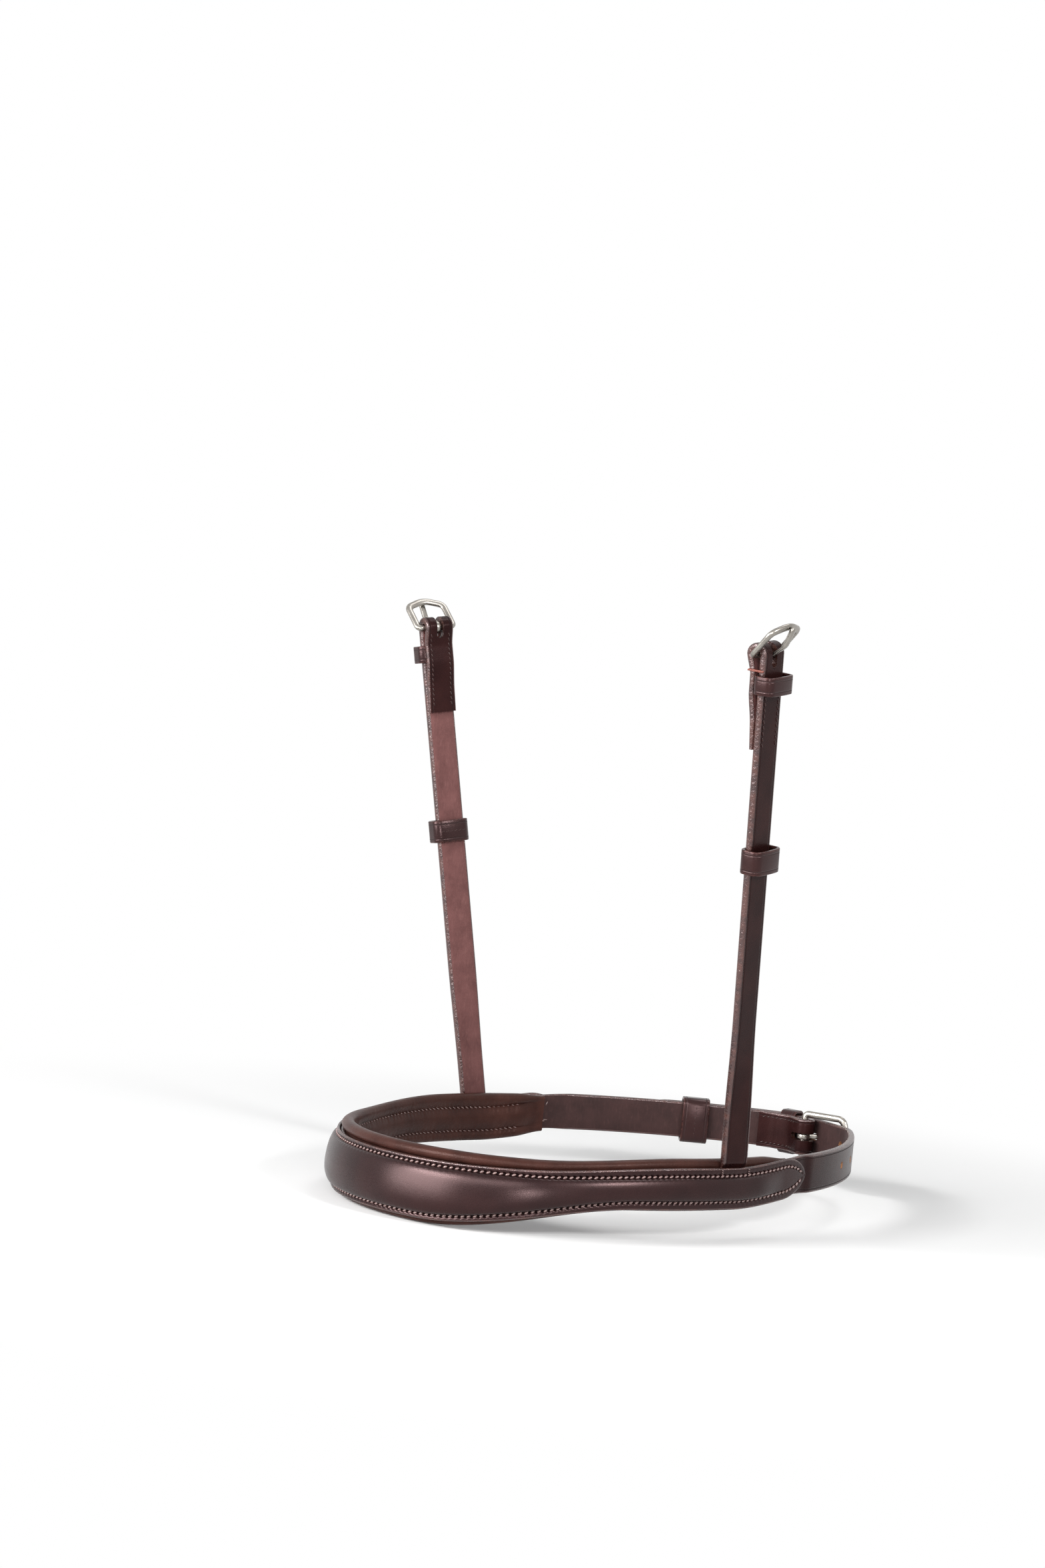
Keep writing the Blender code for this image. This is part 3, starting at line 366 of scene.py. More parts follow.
def flesh_leather(name, low, high, light):
    """The back of the leather: a short matted nap, dyed through unevenly."""
    nodes = Nodes(name, high, 0.7, IOR=1.4, Specular_IOR_Level=0.4, Specular_Tint=(1.0, 0.8, 0.8),
                  Sheen_Weight=0.05)
    clouds, nap = nodes.noise(9 * MM, 5, rough=0.6), nodes.noise(0.5 * MM, 3)
    fibres = nodes.noise(0.9 * MM, 4, (1, 1, 0.25))
    colour = nodes.mix(clouds.between(0.25, 0.75), low, high)
    colour = nodes.mix(fibres.between(0.5, 0.8) * 0.35, colour, light)
    return nodes.done(colour, 0.56 + nap * 0.2, nap * 0.5 + fibres * 0.7, 0.10 * MM)


def edge_leather():
    """Cut edges, rubbed smooth with wax: the layers of the hide show as fine lines."""
    nodes = Nodes("burnished_edge", (0.034, 0.012, 0.010), 0.24, Specular_IOR_Level=1.0,
                  Specular_Tint=(1.0, 0.82, 0.82))
    clouds, lines = nodes.noise(4 * MM, 4), nodes.noise(0.35 * MM, 3, (1, 1, 0.3))
    colour = nodes.mix(clouds.between(0.35, 0.7), (0.016, 0.0058, 0.0052), (0.050, 0.017, 0.012))
    return nodes.done(colour, 0.16 + lines * 0.2, lines * 0.7 + nodes.noise(1.3 * MM, 2) * 1.3, 0.2 * MM, 1.0)


def lining_leather():
    """The lining is a thinner and softer hide with a matt face, which wrinkles where it is drawn in."""
    nodes = Nodes("soft_lining", (0.070, 0.029, 0.023), 0.5, IOR=1.45, Specular_IOR_Level=0.20,
                  Specular_Tint=(1.0, 0.72, 0.66))
    clouds, flecks = nodes.noise(10 * MM, 3), nodes.noise(1.1 * MM, 4)
    pores = nodes.cells(0.8 * MM).between(0.0, 0.6)
    colour = nodes.mix(clouds.between(0.3, 0.7), (0.027, 0.0098, 0.0076), (0.044, 0.0164, 0.0125))
    colour = nodes.mix(pores.between(0.35, 0.0) * 0.35, colour, (0.030, 0.012, 0.010))
    return nodes.done(colour, 0.30 + flecks * 0.16, pores * 0.7 + flecks * 0.6, 0.08 * MM)


GRAIN = grain_leather("bridle_grain", True, 0.55 * MM, 0.13, 0.2, (0.011, 0.0034, 0.0034),
                      (0.020, 0.0063, 0.0058))
KEEPER_GRAIN = grain_leather("keeper_grain", True, 0.55 * MM, 0.42, 0.16, (0.009, 0.0029, 0.0029),
                             (0.016, 0.0052, 0.0048))
OUTER_GRAIN = grain_leather("nose_grain", False, 0.6 * MM, 0.36, 0.20, (0.0060, 0.0019, 0.0020),
                            (0.0110, 0.0035, 0.0034))
FLESH = flesh_leather("flesh_side", (0.082, 0.0305, 0.0285), (0.135, 0.0545, 0.051), (0.20, 0.092, 0.084))
# partly painted shade: the inside of the jaw strap is painted darker than the other flesh side, because it lies in
# the ring's shade
SHADE_PAINTED_FLESH = flesh_leather("waxed_flesh_side_painted_shade", (0.016, 0.0066, 0.0061), (0.031, 0.0130, 0.0120),
                           (0.060, 0.028, 0.026))
EDGE = edge_leather()
RAW = speckled("punched_hide", (0.30, 0.13, 0.055), 0.9, 0.4 * MM, 4, (0.17, 0.07, 0.03), (0.38, 0.18, 0.08),
               0.12 * MM)
LINING = lining_leather()
STRAP_FINISH, JAW_FINISH = (GRAIN, EDGE, FLESH, RAW), (GRAIN, EDGE, SHADE_PAINTED_FLESH, RAW)
print("leather finishes:", [finish.name for finish in (*STRAP_FINISH, KEEPER_GRAIN, OUTER_GRAIN, SHADE_PAINTED_FLESH, LINING)])

# %% [markdown]
# Waxed linen thread holds the layers. On the nose piece it is pale, which is partly its own colour and partly a
# painted highlight. It is dark where straps turn back, and one loose end is red brown. The buckles and their tongues
# are cast stainless steel, tumbled to a soft shine: even grey, with faint scratches and smears that only show in the
# gloss. The filler and the foam are inside, and get a plain finish of their own kind.

# %% Thread, steel and fillings
def thread_finish(name, polish, low, high):
    return speckled(name, high, 0.24, 0.3 * MM, 2, low, high, 0.1 * MM, 0.7, Specular_IOR_Level=polish)


def steel_finish():
    nodes = Nodes("satin_steel", (0.30, 0.285, 0.262), 0.3, Metallic=1.0)
    smears, scratches = nodes.noise(7 * MM, 3), nodes.noise(0.5 * MM, 4, (1, 0.12, 1))
    colour = nodes.mix(smears.between(0.3, 0.7), (0.26, 0.240, 0.215), (0.38, 0.357, 0.325))
    roughness = 0.22 + smears * 0.12 + scratches.between(0.55, 0.75) * 0.06
    return nodes.done(colour, roughness, scratches, 0.004 * MM, 0.3)


def filling(name, dark, light, size):
    return speckled(name, light, 0.92, size, 4, dark, light, 0.2 * MM)


# partly painted highlight: this thread is painted much paler than the leather it lies on
THREAD = thread_finish("waxed_thread", 0.9, (0.090, 0.047, 0.043), (0.225, 0.137, 0.125))
DARK_THREAD = thread_finish("dark_thread", 0.3, (0.018, 0.0070, 0.0066), (0.042, 0.0180, 0.0165))
RED_THREAD = thread_finish("red_brown_thread", 0.3, (0.08, 0.022, 0.016), (0.27, 0.09, 0.066))
STEEL = steel_finish()
FILLER = filling("pressed_filler", (0.22, 0.14, 0.08), (0.34, 0.23, 0.14), 1.2 * MM)
FOAM = filling("soft_foam", (0.46, 0.43, 0.36), (0.60, 0.57, 0.50), 0.8 * MM)
print("other finishes:", [finish.name for finish in (THREAD, DARK_THREAD, RED_THREAD, STEEL, FILLER, FOAM)])

# %% [markdown]
# Most pieces are a section carried along a path. A ring is a closed loop of points round the
# piece, and rings joined one to the next make its skin. Each point also stores its lay: how far
# across the piece it is, how far along, and the half width there. The finishes read it.

# %% Rings and skins
SHARP = math.radians(50)


def to_object(name, mesh, *materials):
    """An object from an edited mesh, with its faces pointing outwards."""
    bmesh.ops.recalc_face_normals(mesh, faces=mesh.faces)
    data = bpy.data.meshes.new(name)
    mesh.to_mesh(data)
    mesh.free()
    for material in materials:
        data.materials.append(material)
    return add_object(name, data)


class Skin:
    """Collects rings into one mesh. Each ring point is (place, lay), and each gap between two
    neighbouring points of a ring has the number of its finish."""

    def __init__(self):
        self.mesh = bmesh.new()
        self.layer = self.mesh.verts.layers.float_vector.new("lay")

    def ring(self, points):
        made = []
        for place, lay in points:
            vert = self.mesh.verts.new(place)
            vert[self.layer] = lay
            made.append(vert)
        return made

    def bridge(self, first, second, finishes):
        for i, finish in enumerate(finishes):
            j = (i + 1) % len(first)
            face = self.mesh.faces.new((first[i], first[j], second[j], second[i]))
            face.material_index = finish
            face.smooth = True

    def cap(self, ring, finish):
        """Closes an end with one face."""
        self.mesh.faces.new(ring).material_index = finish


def carried(name, rings, finishes, materials, end_finish=1, closed=False):
    """A solid through rings of (place, lay) points."""
    skin = Skin()
    loops = [skin.ring(ring) for ring in rings]
    for first, second in zip(loops, loops[1:]):
        skin.bridge(first, second, finishes)
    if closed:
        skin.bridge(loops[-1], loops[0], finishes)
    else:
        skin.cap(loops[0], end_finish)
        skin.cap(loops[-1], end_finish)
    piece = to_object(name, skin.mesh, *materials)
    piece.data.set_sharp_from_angle(angle=SHARP)
    return piece


def report(piece):
    piece.data.calc_loop_triangles()
    print(f"{piece.name}: {len(piece.data.loop_triangles)} triangles")


def settle(piece, body, slot, *nodes):
    """Says what the piece moves with and which plain pieces it stands for. The slot is not used."""
    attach(piece, body)
    if nodes:
        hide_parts(*nodes)
    report(piece)
    return piece


print("neighbouring faces stay sharp past", round(math.degrees(SHARP)), "degrees")

# %% [markdown]
# Sizes of the nose piece: it is tall and padded over the nose, narrows along the cheek, and ends in
# a point over each jaw strap. Each size below changes smoothly with the run, by the same rule.
# Over the nose the finished leather dips and leans back a little, where the plain model has a flat
# upper edge and leans the other way.

# %% How the nose piece changes along the band
HEIGHT, RAISE = (25.6 * MM, 16.8 * MM), (2.6 * MM, 2.0 * MM)  # over the nose, and at the cheek
ROLL, ROLL_SIZE = (4.9 * MM, 2.9 * MM), (5.3 * MM, 5.0 * MM)
LIP, RIM = (2.4 * MM, 1.1 * MM), (2.2 * MM, 3.3 * MM)
MODEL_TILT, LEAN_BACK = math.radians(5), math.radians(2.5)  # of the plain piece, and of the finished one
NOSE_DIP, DIP_START, DIP_END = 2.8 * MM, 70 * MM, 135 * MM
FULL_RUN, NARROW_RUN = 24 * MM, 112 * MM  # where the narrowing starts and ends
LINING_WALL, PAD_ROWS, PAD_CROWN = 1.2 * MM, 3.6 * MM, 5.4 * MM
BACKING_WALL = OUTER_WALL = 1.6 * MM
BACKING_RUN, CORE_RUN = CHEEK_RUN + 12 * MM, CHEEK_RUN + 26 * MM  # where each layer ends
LINING_RUN, OUTER_RUN = CHEEK_RUN + 36 * MM, CHEEK_RUN + 46 * MM
LINING_TAPER, OUTER_POINT, SKIVE = 15 * MM, 15 * MM, 6 * MM
STRAP_RUN = OUTER_RUN + SKIVE
OUTER_IN = BACKING_WALL + FIT
JAW_WIDTH, STRAP_WALL = 16 * MM, 2.8 * MM
TOP = (HEIGHT[0] + ROLL[0] + LIP[0]) / 2
JAW_HEIGHT = TOP - JAW_WIDTH / 2


def narrowing(run):
    return ease(abs(run), FULL_RUN, NARROW_RUN)


def at_run(sizes, run):
    return lerp(*sizes, narrowing(run))


def half_height(run):
    return at_run(HEIGHT, run) / 2


def middle(run):
    return lerp(TOP - at_run(ROLL, run) - half_height(run), JAW_HEIGHT, ease(abs(run), CHEEK_RUN, OUTER_RUN))


def row_height(run):
    return half_height(run) - at_run(RIM, run)


def raised(run):
    return at_run(RAISE, run) * (1 - ease(abs(run), CORE_RUN - LINING_TAPER, OUTER_RUN - OUTER_POINT))


def sewn_width(run):
    return 2 * half_height(run) - RIM[1] / 2


def pointed(share):
    """Width left at a share of the way along a pointed end."""
    return (1 - min(max(share, 0.0), 0.995) ** 1.75) ** 0.55


def dipped(run, height):
    """Over the nose the soft leather dips: its upper edge hangs lower, and its lower edge stays."""
    foot = middle(run) - half_height(run) - at_run(LIP, run)
    share = max((height - foot) / (TOP - foot), 0.0)
    return height - NOSE_DIP * (1 - ease(abs(run), DIP_START, DIP_END)) * share


def on_band(run, out, height):
    """A place on the nose piece, which leans back a little over the nose."""
    point, outward, _ = plan(NEAR, run)
    lean = math.tan(LEAN_BACK) * (1 - narrowing(run))
    return point + outward * (out - (height + TOP) * lean) + UP * dipped(run, height)


def run_at(x, y):
    """The run at a place on the nose or along the cheek."""
    back = y - FRONT_Y
    heading = math.atan2(abs(x), FRONT_RADIUS - back)
    if heading < FRONT_TURN:
        return math.copysign(heading * FRONT_RADIUS, x)
    heading = math.atan2(abs(x) - SIDE_CENTRE_X, SIDE_CENTRE_BACK - back)
    return math.copysign(FRONT_END + (heading - FRONT_TURN) * SIDE_RADIUS, x)


print("nose piece ends", round(OUTER_RUN / MM), "mm from the middle of the nose")

# %% [markdown]
# The filler under the raised leather and the foam in the lining are hidden, so their plain shapes do.
# The finished nose piece leans and dips, and a copy of each filling is moved by the same rule, so
# that it stays inside its leather.

# %% Fillings
SAME_PLACE = 0.001 * MM  # points nearer than this are one


def add_filling(name, node, slot, finish):
    plain = frame["nodes"][node]
    mesh = bmesh.new()
    mesh.from_mesh(plain.data)
    bmesh.ops.transform(mesh, matrix=plain.matrix_world, verts=mesh.verts)
    bmesh.ops.remove_doubles(mesh, verts=mesh.verts, dist=SAME_PLACE)
    for vert in mesh.verts:
        run = run_at(vert.co.x, vert.co.y)
        point, outward, _ = plan(NEAR, run)
        tilted = (vert.co.z - TOP) * math.tan(MODEL_TILT) * (1 - narrowing(run))
        vert.co = on_band(run, (vert.co - point).dot(outward) - tilted, vert.co.z)
    settle(to_object(name, mesh, finish), "ring", slot, node)


add_filling("raising_filler", "raising_core", "leatherboard_filler", FILLER)
add_filling("lining_foam", "pad_foam", "pad_foam", FOAM)

# %% [markdown]
# The outer leather is one hide, moulded wet over the filler: a dome between two flat rims. Its face
# has stretched with use and hangs a little, so it stands highest below its middle. Each rim is
# pressed down along the row where the thread pulls it in. The section is worked out as its upper
# half, mirrored, and carried from one pointed end to the other.

# %% Outer leather
FULLER, RIM_DOWN = 1.3, 0.35 * MM  # how much fuller than the filler the dome is, and how far the rims are pressed
SAG = 0.32  # the dome stands highest this share below its middle
RIM_SOFT, DOME_START = 0.72 * MM, 0.9  # the rim's rounding, and how many mm from the row the dome is full
GROOVE, PIT_DEPTH, THREAD_OUT = 0.3 * MM, 0.7 * MM, 0.16 * MM
ROW_END, ROW_STEP = OUTER_RUN - 4 * MM, 1.2 * MM
DOME_STEPS = 9
FACE = OUTER_IN + OUTER_WALL - RIM_DOWN


def dome_rise(share, power=3):
    return math.sqrt(max(1 - abs(share) ** power, 0.0))


def face_rise(share):
    """The worn face hangs a little, so its highest line is below the middle."""
    return dome_rise((share + SAG) / (1 + SAG if share > -SAG else 1 - SAG), 2.1)


def outer_lines(run):
    """Half width and the height of the stitched row above the middle."""
    half = half_height(run) * pointed(1 - (OUTER_RUN - abs(run)) / OUTER_POINT)
    return half, max(half - at_run(RIM, run), 0.02 * half)


class Row:
    """A stitched row above (1) or below (-1) the middle of the nose piece, as (place, facing) points. It
    knows which stitch lies at a run."""

    def __init__(self, side_of_middle, out, facing, end):
        self.runs = runs_between(-end, end, ROW_STEP)
        places = [on_band(run, out, middle(run) + side_of_middle * outer_lines(run)[1]) for run in self.runs]
        self.points = [(place, plan(NEAR, run)[1] * facing) for place, run in zip(places, self.runs)]
        self.lengths = [0.0]
        for first, second in zip(places, places[1:]):
            self.lengths.append(self.lengths[-1] + (second - first).length)
        self.pitch = self.lengths[-1] / round(self.lengths[-1] / STITCH_PITCH)

    def number(self, run):
        at = min(max(bisect.bisect(self.runs, run), 1), len(self.runs) - 1)
        share = (run - self.runs[at - 1]) / (self.runs[at] - self.runs[at - 1])
        return lerp(self.lengths[at - 1], self.lengths[at], share) / self.pitch


def pit(along, away):
    """How far the needle's hole between two stitches draws the leather in."""
    near = (along - math.floor(along) - 0.5) * STITCH_PITCH
    return PIT_DEPTH * math.exp(-(near / PIT_ALONG) ** 2 - (away / PIT_ACROSS) ** 2)


NOSE_ROWS = {side: Row(side, FACE - GROOVE + THREAD_OUT, 1, ROW_END) for side in (1, -1)}


def outer_half(run):
    """The upper half of a section, from the hollow round the rim to the face, as points of (out, height,
    finish, how much of the dome's rise counts there, share of the way up the dome)."""
    half, line = outer_lines(run)
    rise, soft = raised(run), min(RIM_SOFT, half / 3)
    hollow, size = max(line - OUTER_WALL / 4, line / 2), min(line / MM, 1.0)
    steps = [math.sin(k / DOME_STEPS * math.pi / 2) for k in range(DOME_STEPS + 1)]
    upper = [(OUTER_IN + rise * dome_rise(s), hollow * s, 2, 0, 0) for s in steps]
    upper += [(OUTER_IN, half - soft, 1, 0, 0)]
    upper += [(*p, 1, 0, 0) for p in arc((OUTER_IN + soft, half - soft), soft, math.pi, math.pi / 2, 3)[1:]]
    upper += [(*p, 1, 0, 0) for p in arc((FACE - soft, half - soft), soft, math.pi / 2, 0, 3)[:-1]]
    upper += [(FACE, half - soft, 0, 0, 0)]
    rim = max(half - soft - line, 0.0)
    upper += [(FACE - GROOVE * size * low, line + min(away * MM, rim * share), 0, 0, 0)
              for away, share, low in ((1.3, 0.8, 0.0), (0.8, 0.6, 0.2), (0.4, 0.3, 0.7), (0.0, 0.0, 1.0))]
    for back in (0.3, 0.6):
        share = max(1 - back * MM / max(line, MM), 0.0)
        upper.append((FACE - GROOVE * (1 - back) * size, line * share, 0, back / DOME_START * size, share))
    start = min(0.97, max(1 - DOME_START * MM / max(line, MM), 0.3))
    return upper + [(FACE, line * start * s, 0, 1, start * s) for s in reversed(steps[:DOME_STEPS])]


def outer_ring(run):
    half, line = outer_lines(run)
    rise, size, upper = raised(run), min(line / MM, 1.0), outer_half(run)
    lower = [(out, -high, kind, swelling, -share) for out, high, kind, swelling, share in reversed(upper[1:-1])]
    ring = []
    for out, high, _, swelling, share in upper + lower:
        away, sign = abs(high) - line, 1 if high > 0 else -1
        along = NOSE_ROWS[sign].number(run) + sign * STITCH_SLANT * away / STITCH_PITCH
        out += FULLER * rise * swelling * face_rise(share)
        if out > OUTER_IN + OUTER_WALL / 2 and abs(away) < 2 * MM and abs(run) < ROW_END:
            out -= pit(along, away) * size
        ring.append((on_band(run, out, middle(run) + high), (away, along * STITCH_PITCH, half - abs(high))))
    kinds = [point[2] for point in upper[:-1]] + [point[2] for point in reversed(upper[:-1])]
    return ring, kinds


def point_runs(tip, length, count=12):
    return [tip - length * (1 - share) ** 2 for share in [i / count for i in range(count + 1)]]


def make_outer():
    ends = point_runs(OUTER_RUN - 0.02 * MM, OUTER_POINT, 30)
    last = math.floor((OUTER_RUN - OUTER_POINT) / STITCH_PITCH) * STITCH_PITCH
    ends = [run for run in ends if run > last + 0.2 * MM]
    runs = runs_between(-last, last, STITCH_PITCH / 6, ends + [-run for run in ends])
    rings = [outer_ring(run) for run in runs]
    piece = carried("nose_outer", [ring for ring, _ in rings], rings[0][1], (OUTER_GRAIN, EDGE, FLESH))
    settle(piece, "ring", "bridle_leather", "nose_outer_leather")


make_outer()

# %% [markdown]
# The lining is a soft hide wrapped round the foam. Its upper edge rolls over the backing, and the two
# rows of thread that hold the layers draw it in, so it swells in a roll above, a crown between the
# rows and a roll below. Each stitch pulls a small pucker, and the hide wrinkles softly between.

# %% Lining
ROLL_BULGE, CROWN_BULGE, FOOT_BULGE = 0.35 * MM, 0.55 * MM, 0.2 * MM
PUCKER_REACH, WRINKLE_REACH, WAVE = 1.5 * MM, 4 * MM, 0.2  # from a row, and how many mm high each wave is


def swell(first, second, depth, count):
    """Points from one pair to another along a shallow bulge to the inside of the ring."""
    (a0, b0), (a1, b1) = first, second
    across = Vector((b1 - b0, a0 - a1)).normalized() if (a0, b0) != (a1, b1) else Vector((0, 0))
    if across.x > 0:
        across = -across
    points = []
    for share in (i / count for i in range(1, count + 1)):
        bulge = depth * (4 * share * (1 - share)) ** 0.75
        points.append((lerp(a0, a1, share) + across.x * bulge, lerp(b0, b1, share) + across.y * bulge))
    return points


def thinned(run):
    return ease(abs(run), LINING_RUN - LINING_TAPER, LINING_RUN)


def bell(value, width):
    return math.exp(-(value / width) ** 2)


def soft_noise(run, along, height, across, seed):
    """A smooth random wave, this long along the band and across it."""
    return noise.noise(Vector((run / along, height / across, seed)))


def padding_outline(run, inset, lip):
    """Half of the lining's section, as points of (out, height): its outside, or its inside at an inset."""
    full, lip_below = 1 - thinned(run), at_run(LIP, run)
    roll = lerp(LINING_WALL, at_run(ROLL_SIZE, run) / 2, full)
    low_roll = lerp(LINING_WALL, (lip_below + at_run(RIM, run)) / 2, full)
    rows, crown = lerp(2 * LINING_WALL, PAD_ROWS, full), lerp(2 * LINING_WALL, PAD_CROWN, full)
    centre, line = middle(run), row_height(run)
    high = TOP - LINING_WALL * (1 - full) - roll
    above = high - centre - sewn_width(run) / 2
    lean = min(BACKING_WALL - roll, -math.sqrt(max((roll + FIT) ** 2 - above * above, 0.0)))
    low = (-FIT - low_roll, centre - half_height(run) - lip_below * full + low_roll)
    top = (lerp(-FIT - roll, lean, full), high)
    start = -math.acos(max(min((-FIT - inset - top[0]) / (roll - inset), 1.0), -1.0))
    points = [(-FIT - inset, centre + lip)] + arc(top, roll - inset, start, math.pi, 14)
    valley_high, valley_low = (inset - rows, centre + line), (inset - rows, centre - line)
    points += swell(points[-1], valley_high, ROLL_BULGE * full, 6)
    points += swell(valley_high, (inset - crown, centre), CROWN_BULGE * full, 6)
    points += swell((inset - crown, centre), valley_low, CROWN_BULGE * full, 6)
    foot = arc(low, low_roll - inset, math.pi, 2 * math.pi, 8)
    points += swell(valley_low, foot[0], FOOT_BULGE * full, 4) + foot[1:]
    return points + [(-FIT - inset, centre - lip)]


def lining_ring(run):
    lip = row_height(run) - LINING_WALL
    wall = lerp(LINING_WALL, LINING_WALL / 2, thinned(run))
    outside, inside = padding_outline(run, 0, lip), padding_outline(run, wall, lip)
    ring = []
    for number, (out, height) in enumerate(outside):
        place = on_band(run, out, height)
        near = min(abs(height - middle(run) - row_height(run)), abs(height - middle(run) + row_height(run)))
        if out < -PAD_ROWS / 2 - FIT:
            pucker = math.cos(2 * math.pi * run / STITCH_PITCH) * bell(near, PUCKER_REACH)
            wrinkle = soft_noise(run, 2.2 * MM, height, 14 * MM, 3.1) * bell(near, WRINKLE_REACH)
            waves = WAVE * pucker + WAVE * wrinkle + WAVE * soft_noise(run, 17 * MM, height, 9 * MM, 7.7)
            place -= plan(NEAR, run)[1] * waves * MM * (1 - thinned(run))
        ring.append((place, (number * MM, run, 1.0)))
    for number, (out, height) in reversed(list(enumerate(inside))):
        ring.append((on_band(run, out, height), (number * MM, run, 1.0)))
    return ring


def make_lining():
    ends, full_run = point_runs(LINING_RUN, LINING_TAPER), LINING_RUN - LINING_TAPER
    runs = runs_between(-full_run, full_run, STITCH_PITCH / 4, ends + [-run for run in ends])
    rings = [lining_ring(run) for run in runs]
    piece = carried("lining", rings, [0] * len(rings[0]), (LINING,), end_finish=0)
    settle(piece, "ring", "lining_leather", "lining_leather")


make_lining()

# %% [markdown]
# The backing is plain firm leather between the two. Only its cut edges show. A cheek strap's end
# is sewn in between it and the outer leather, and its notch for that is cut as the maker would.

# %% Backing
CHEEK_WIDTH, CHEEK_LENGTH = 13 * MM, 205 * MM
CHEEK_LEAN, CHEEK_SPLAY, CHEEK_TWIST = math.radians(8.5), math.radians(6.5), math.radians(11)
CHEEK_OUT, TAIL_WALL, TAIL_LENGTH = 1.5 * MM, 1.2 * MM, 12 * MM
BACKING_SOFT, NOTCH_SPARE = 0.3 * MM, 4 * MM
X_AXIS, Y_AXIS, Z_AXIS = Matrix.Identity(3)


def frame_at(origin, across, along, out):
    matrix = Matrix((across, along, out)).transposed().to_4x4()
    matrix.translation = origin
    return matrix


def cheek_axes(side, splay):
    """Across, along and out of a strap that leans to the front and spreads outwards."""
    _, outward, forward = plan(side, CHEEK_RUN)
    upright = UP * math.cos(splay) + outward * math.sin(splay)
    out = outward * math.cos(splay) - UP * math.sin(splay)
    along = upright * math.cos(CHEEK_LEAN) - forward * math.sin(CHEEK_LEAN)
    return along.cross(out), along, out


def fold_point(side):
    point, outward, _ = plan(side, CHEEK_RUN)
    height = middle(CHEEK_RUN) + half_height(CHEEK_RUN) + STRAP_WALL / 2 + 2 * FIT
    return point + outward * CHEEK_OUT + UP * height


def fold_frame(side):
    return frame_at(fold_point(side), *cheek_axes(side, CHEEK_SPLAY)) @ Matrix.Rotation(side * CHEEK_TWIST, 4, "Y")


def tail_frame(side):
    return frame_at(fold_point(side), *cheek_axes(side, 0.0))


def cut(piece, outline, depth, finish):
    """Cuts a prism out of a piece, and gives the cut faces a finish of their own."""
    mesh = bmesh.new()
    loops = [[mesh.verts.new(point + step) for point in outline] for step in (-depth, depth)]
    for loop in loops:
        mesh.faces.new(loop)
    for i in range(len(outline)):
        j = (i + 1) % len(outline)
        mesh.faces.new((loops[0][i], loops[0][j], loops[1][j], loops[1][i]))
    cutter = to_object("cutter", mesh, finish)
    modifier = piece.modifiers.new("cut", "BOOLEAN")
    modifier.operation, modifier.solver, modifier.material_mode = "DIFFERENCE", "EXACT", "TRANSFER"
    modifier.object = cutter
    bake(piece)
    bpy.data.objects.remove(cutter)


def bake(piece):
    """Puts the modifiers' result into the piece's own mesh."""
    bpy.context.view_layer.update()
    graph = bpy.context.evaluated_depsgraph_get()
    result = bpy.data.meshes.new_from_object(piece.evaluated_get(graph), depsgraph=graph)
    piece.modifiers.clear()
    piece.data = result


def make_backing():
    runs = runs_between(-BACKING_RUN, BACKING_RUN, 3 * MM)
    rings = []
    for run in runs:
        half, soft = sewn_width(run) / 2, BACKING_SOFT
        pairs = [(0, half - soft), (soft, half), (BACKING_WALL - soft, half), (BACKING_WALL, half - soft)]
        pairs += [(BACKING_WALL, 0)] + [(out, -high) for out, high in reversed(pairs)] + [(0, 0)]
        rings.append([(on_band(run, out, middle(run) + high), (high, run, half)) for out, high in pairs])
    piece = carried("backing", rings, [1, 1, 1, 2, 2, 1, 1, 1, 2, 2], STRAP_FINISH)
    for _, side in SIDES:
        matrix, low = tail_frame(side), -STRAP_WALL / 2 - FIT - TAIL_LENGTH - FIT
        skew = side * math.tan(CHEEK_LEAN)
        half, rise = CHEEK_WIDTH / 2 + FIT, TAIL_LENGTH + NOTCH_SPARE
        corners = [(-half, low + skew * half), (half, low - skew * half), (half, low - skew * half + rise),
                   (-half, low + skew * half + rise)]
        outline = [matrix @ Vector((x, y, BACKING_WALL / 2 - CHEEK_OUT)) for x, y in corners]
        cut(piece, outline, matrix.to_3x3() @ Z_AXIS * (BACKING_WALL + 2 * MM), EDGE)
    settle(piece, "ring", "bridle_leather", "nose_backing")


make_backing()

# %% [markdown]
# A strap is a flat section with rounded, burnished edges. Its ring runs across the grain side, round
# one edge, back across the flesh side and round the other, so one list of finishes serves every strap.

# %% Strap sections
CHAPE_WALL, CHAPE_END_WALL = 2.2 * MM, 1.4 * MM
BAR_RADIUS = 1.4 * MM
BAR_BEHIND = BAR_RADIUS + FIT
TURN_RADIUS = BAR_BEHIND + STRAP_WALL / 2
BILLET_OVER = STRAP_WALL + FIT
FIXED_LENGTH, FIXED_BELOW_BAR, FIXED_WALL = 7.4 * MM, 11.5 * MM, 1.2 * MM
PLAY = 0.6 * MM
SLOT_HALF, SLOT_BELOW = 1.6 * MM, 4.8 * MM
INWARDS = (0, -1)
EDGE_SOFT, EDGE_MOST, EDGE_POWER = 0.32, 0.6, 0.8  # of the wall, at most of the half width, and how square
FACE_STEPS, EDGE_STEPS, BACK_STEPS, BEND_STEPS, MARK_STEPS = 6, 6, 4, 16, 6
STRAP_KINDS = [0] * FACE_STEPS + [1] * EDGE_STEPS + [2] * BACK_STEPS + [1] * EDGE_STEPS


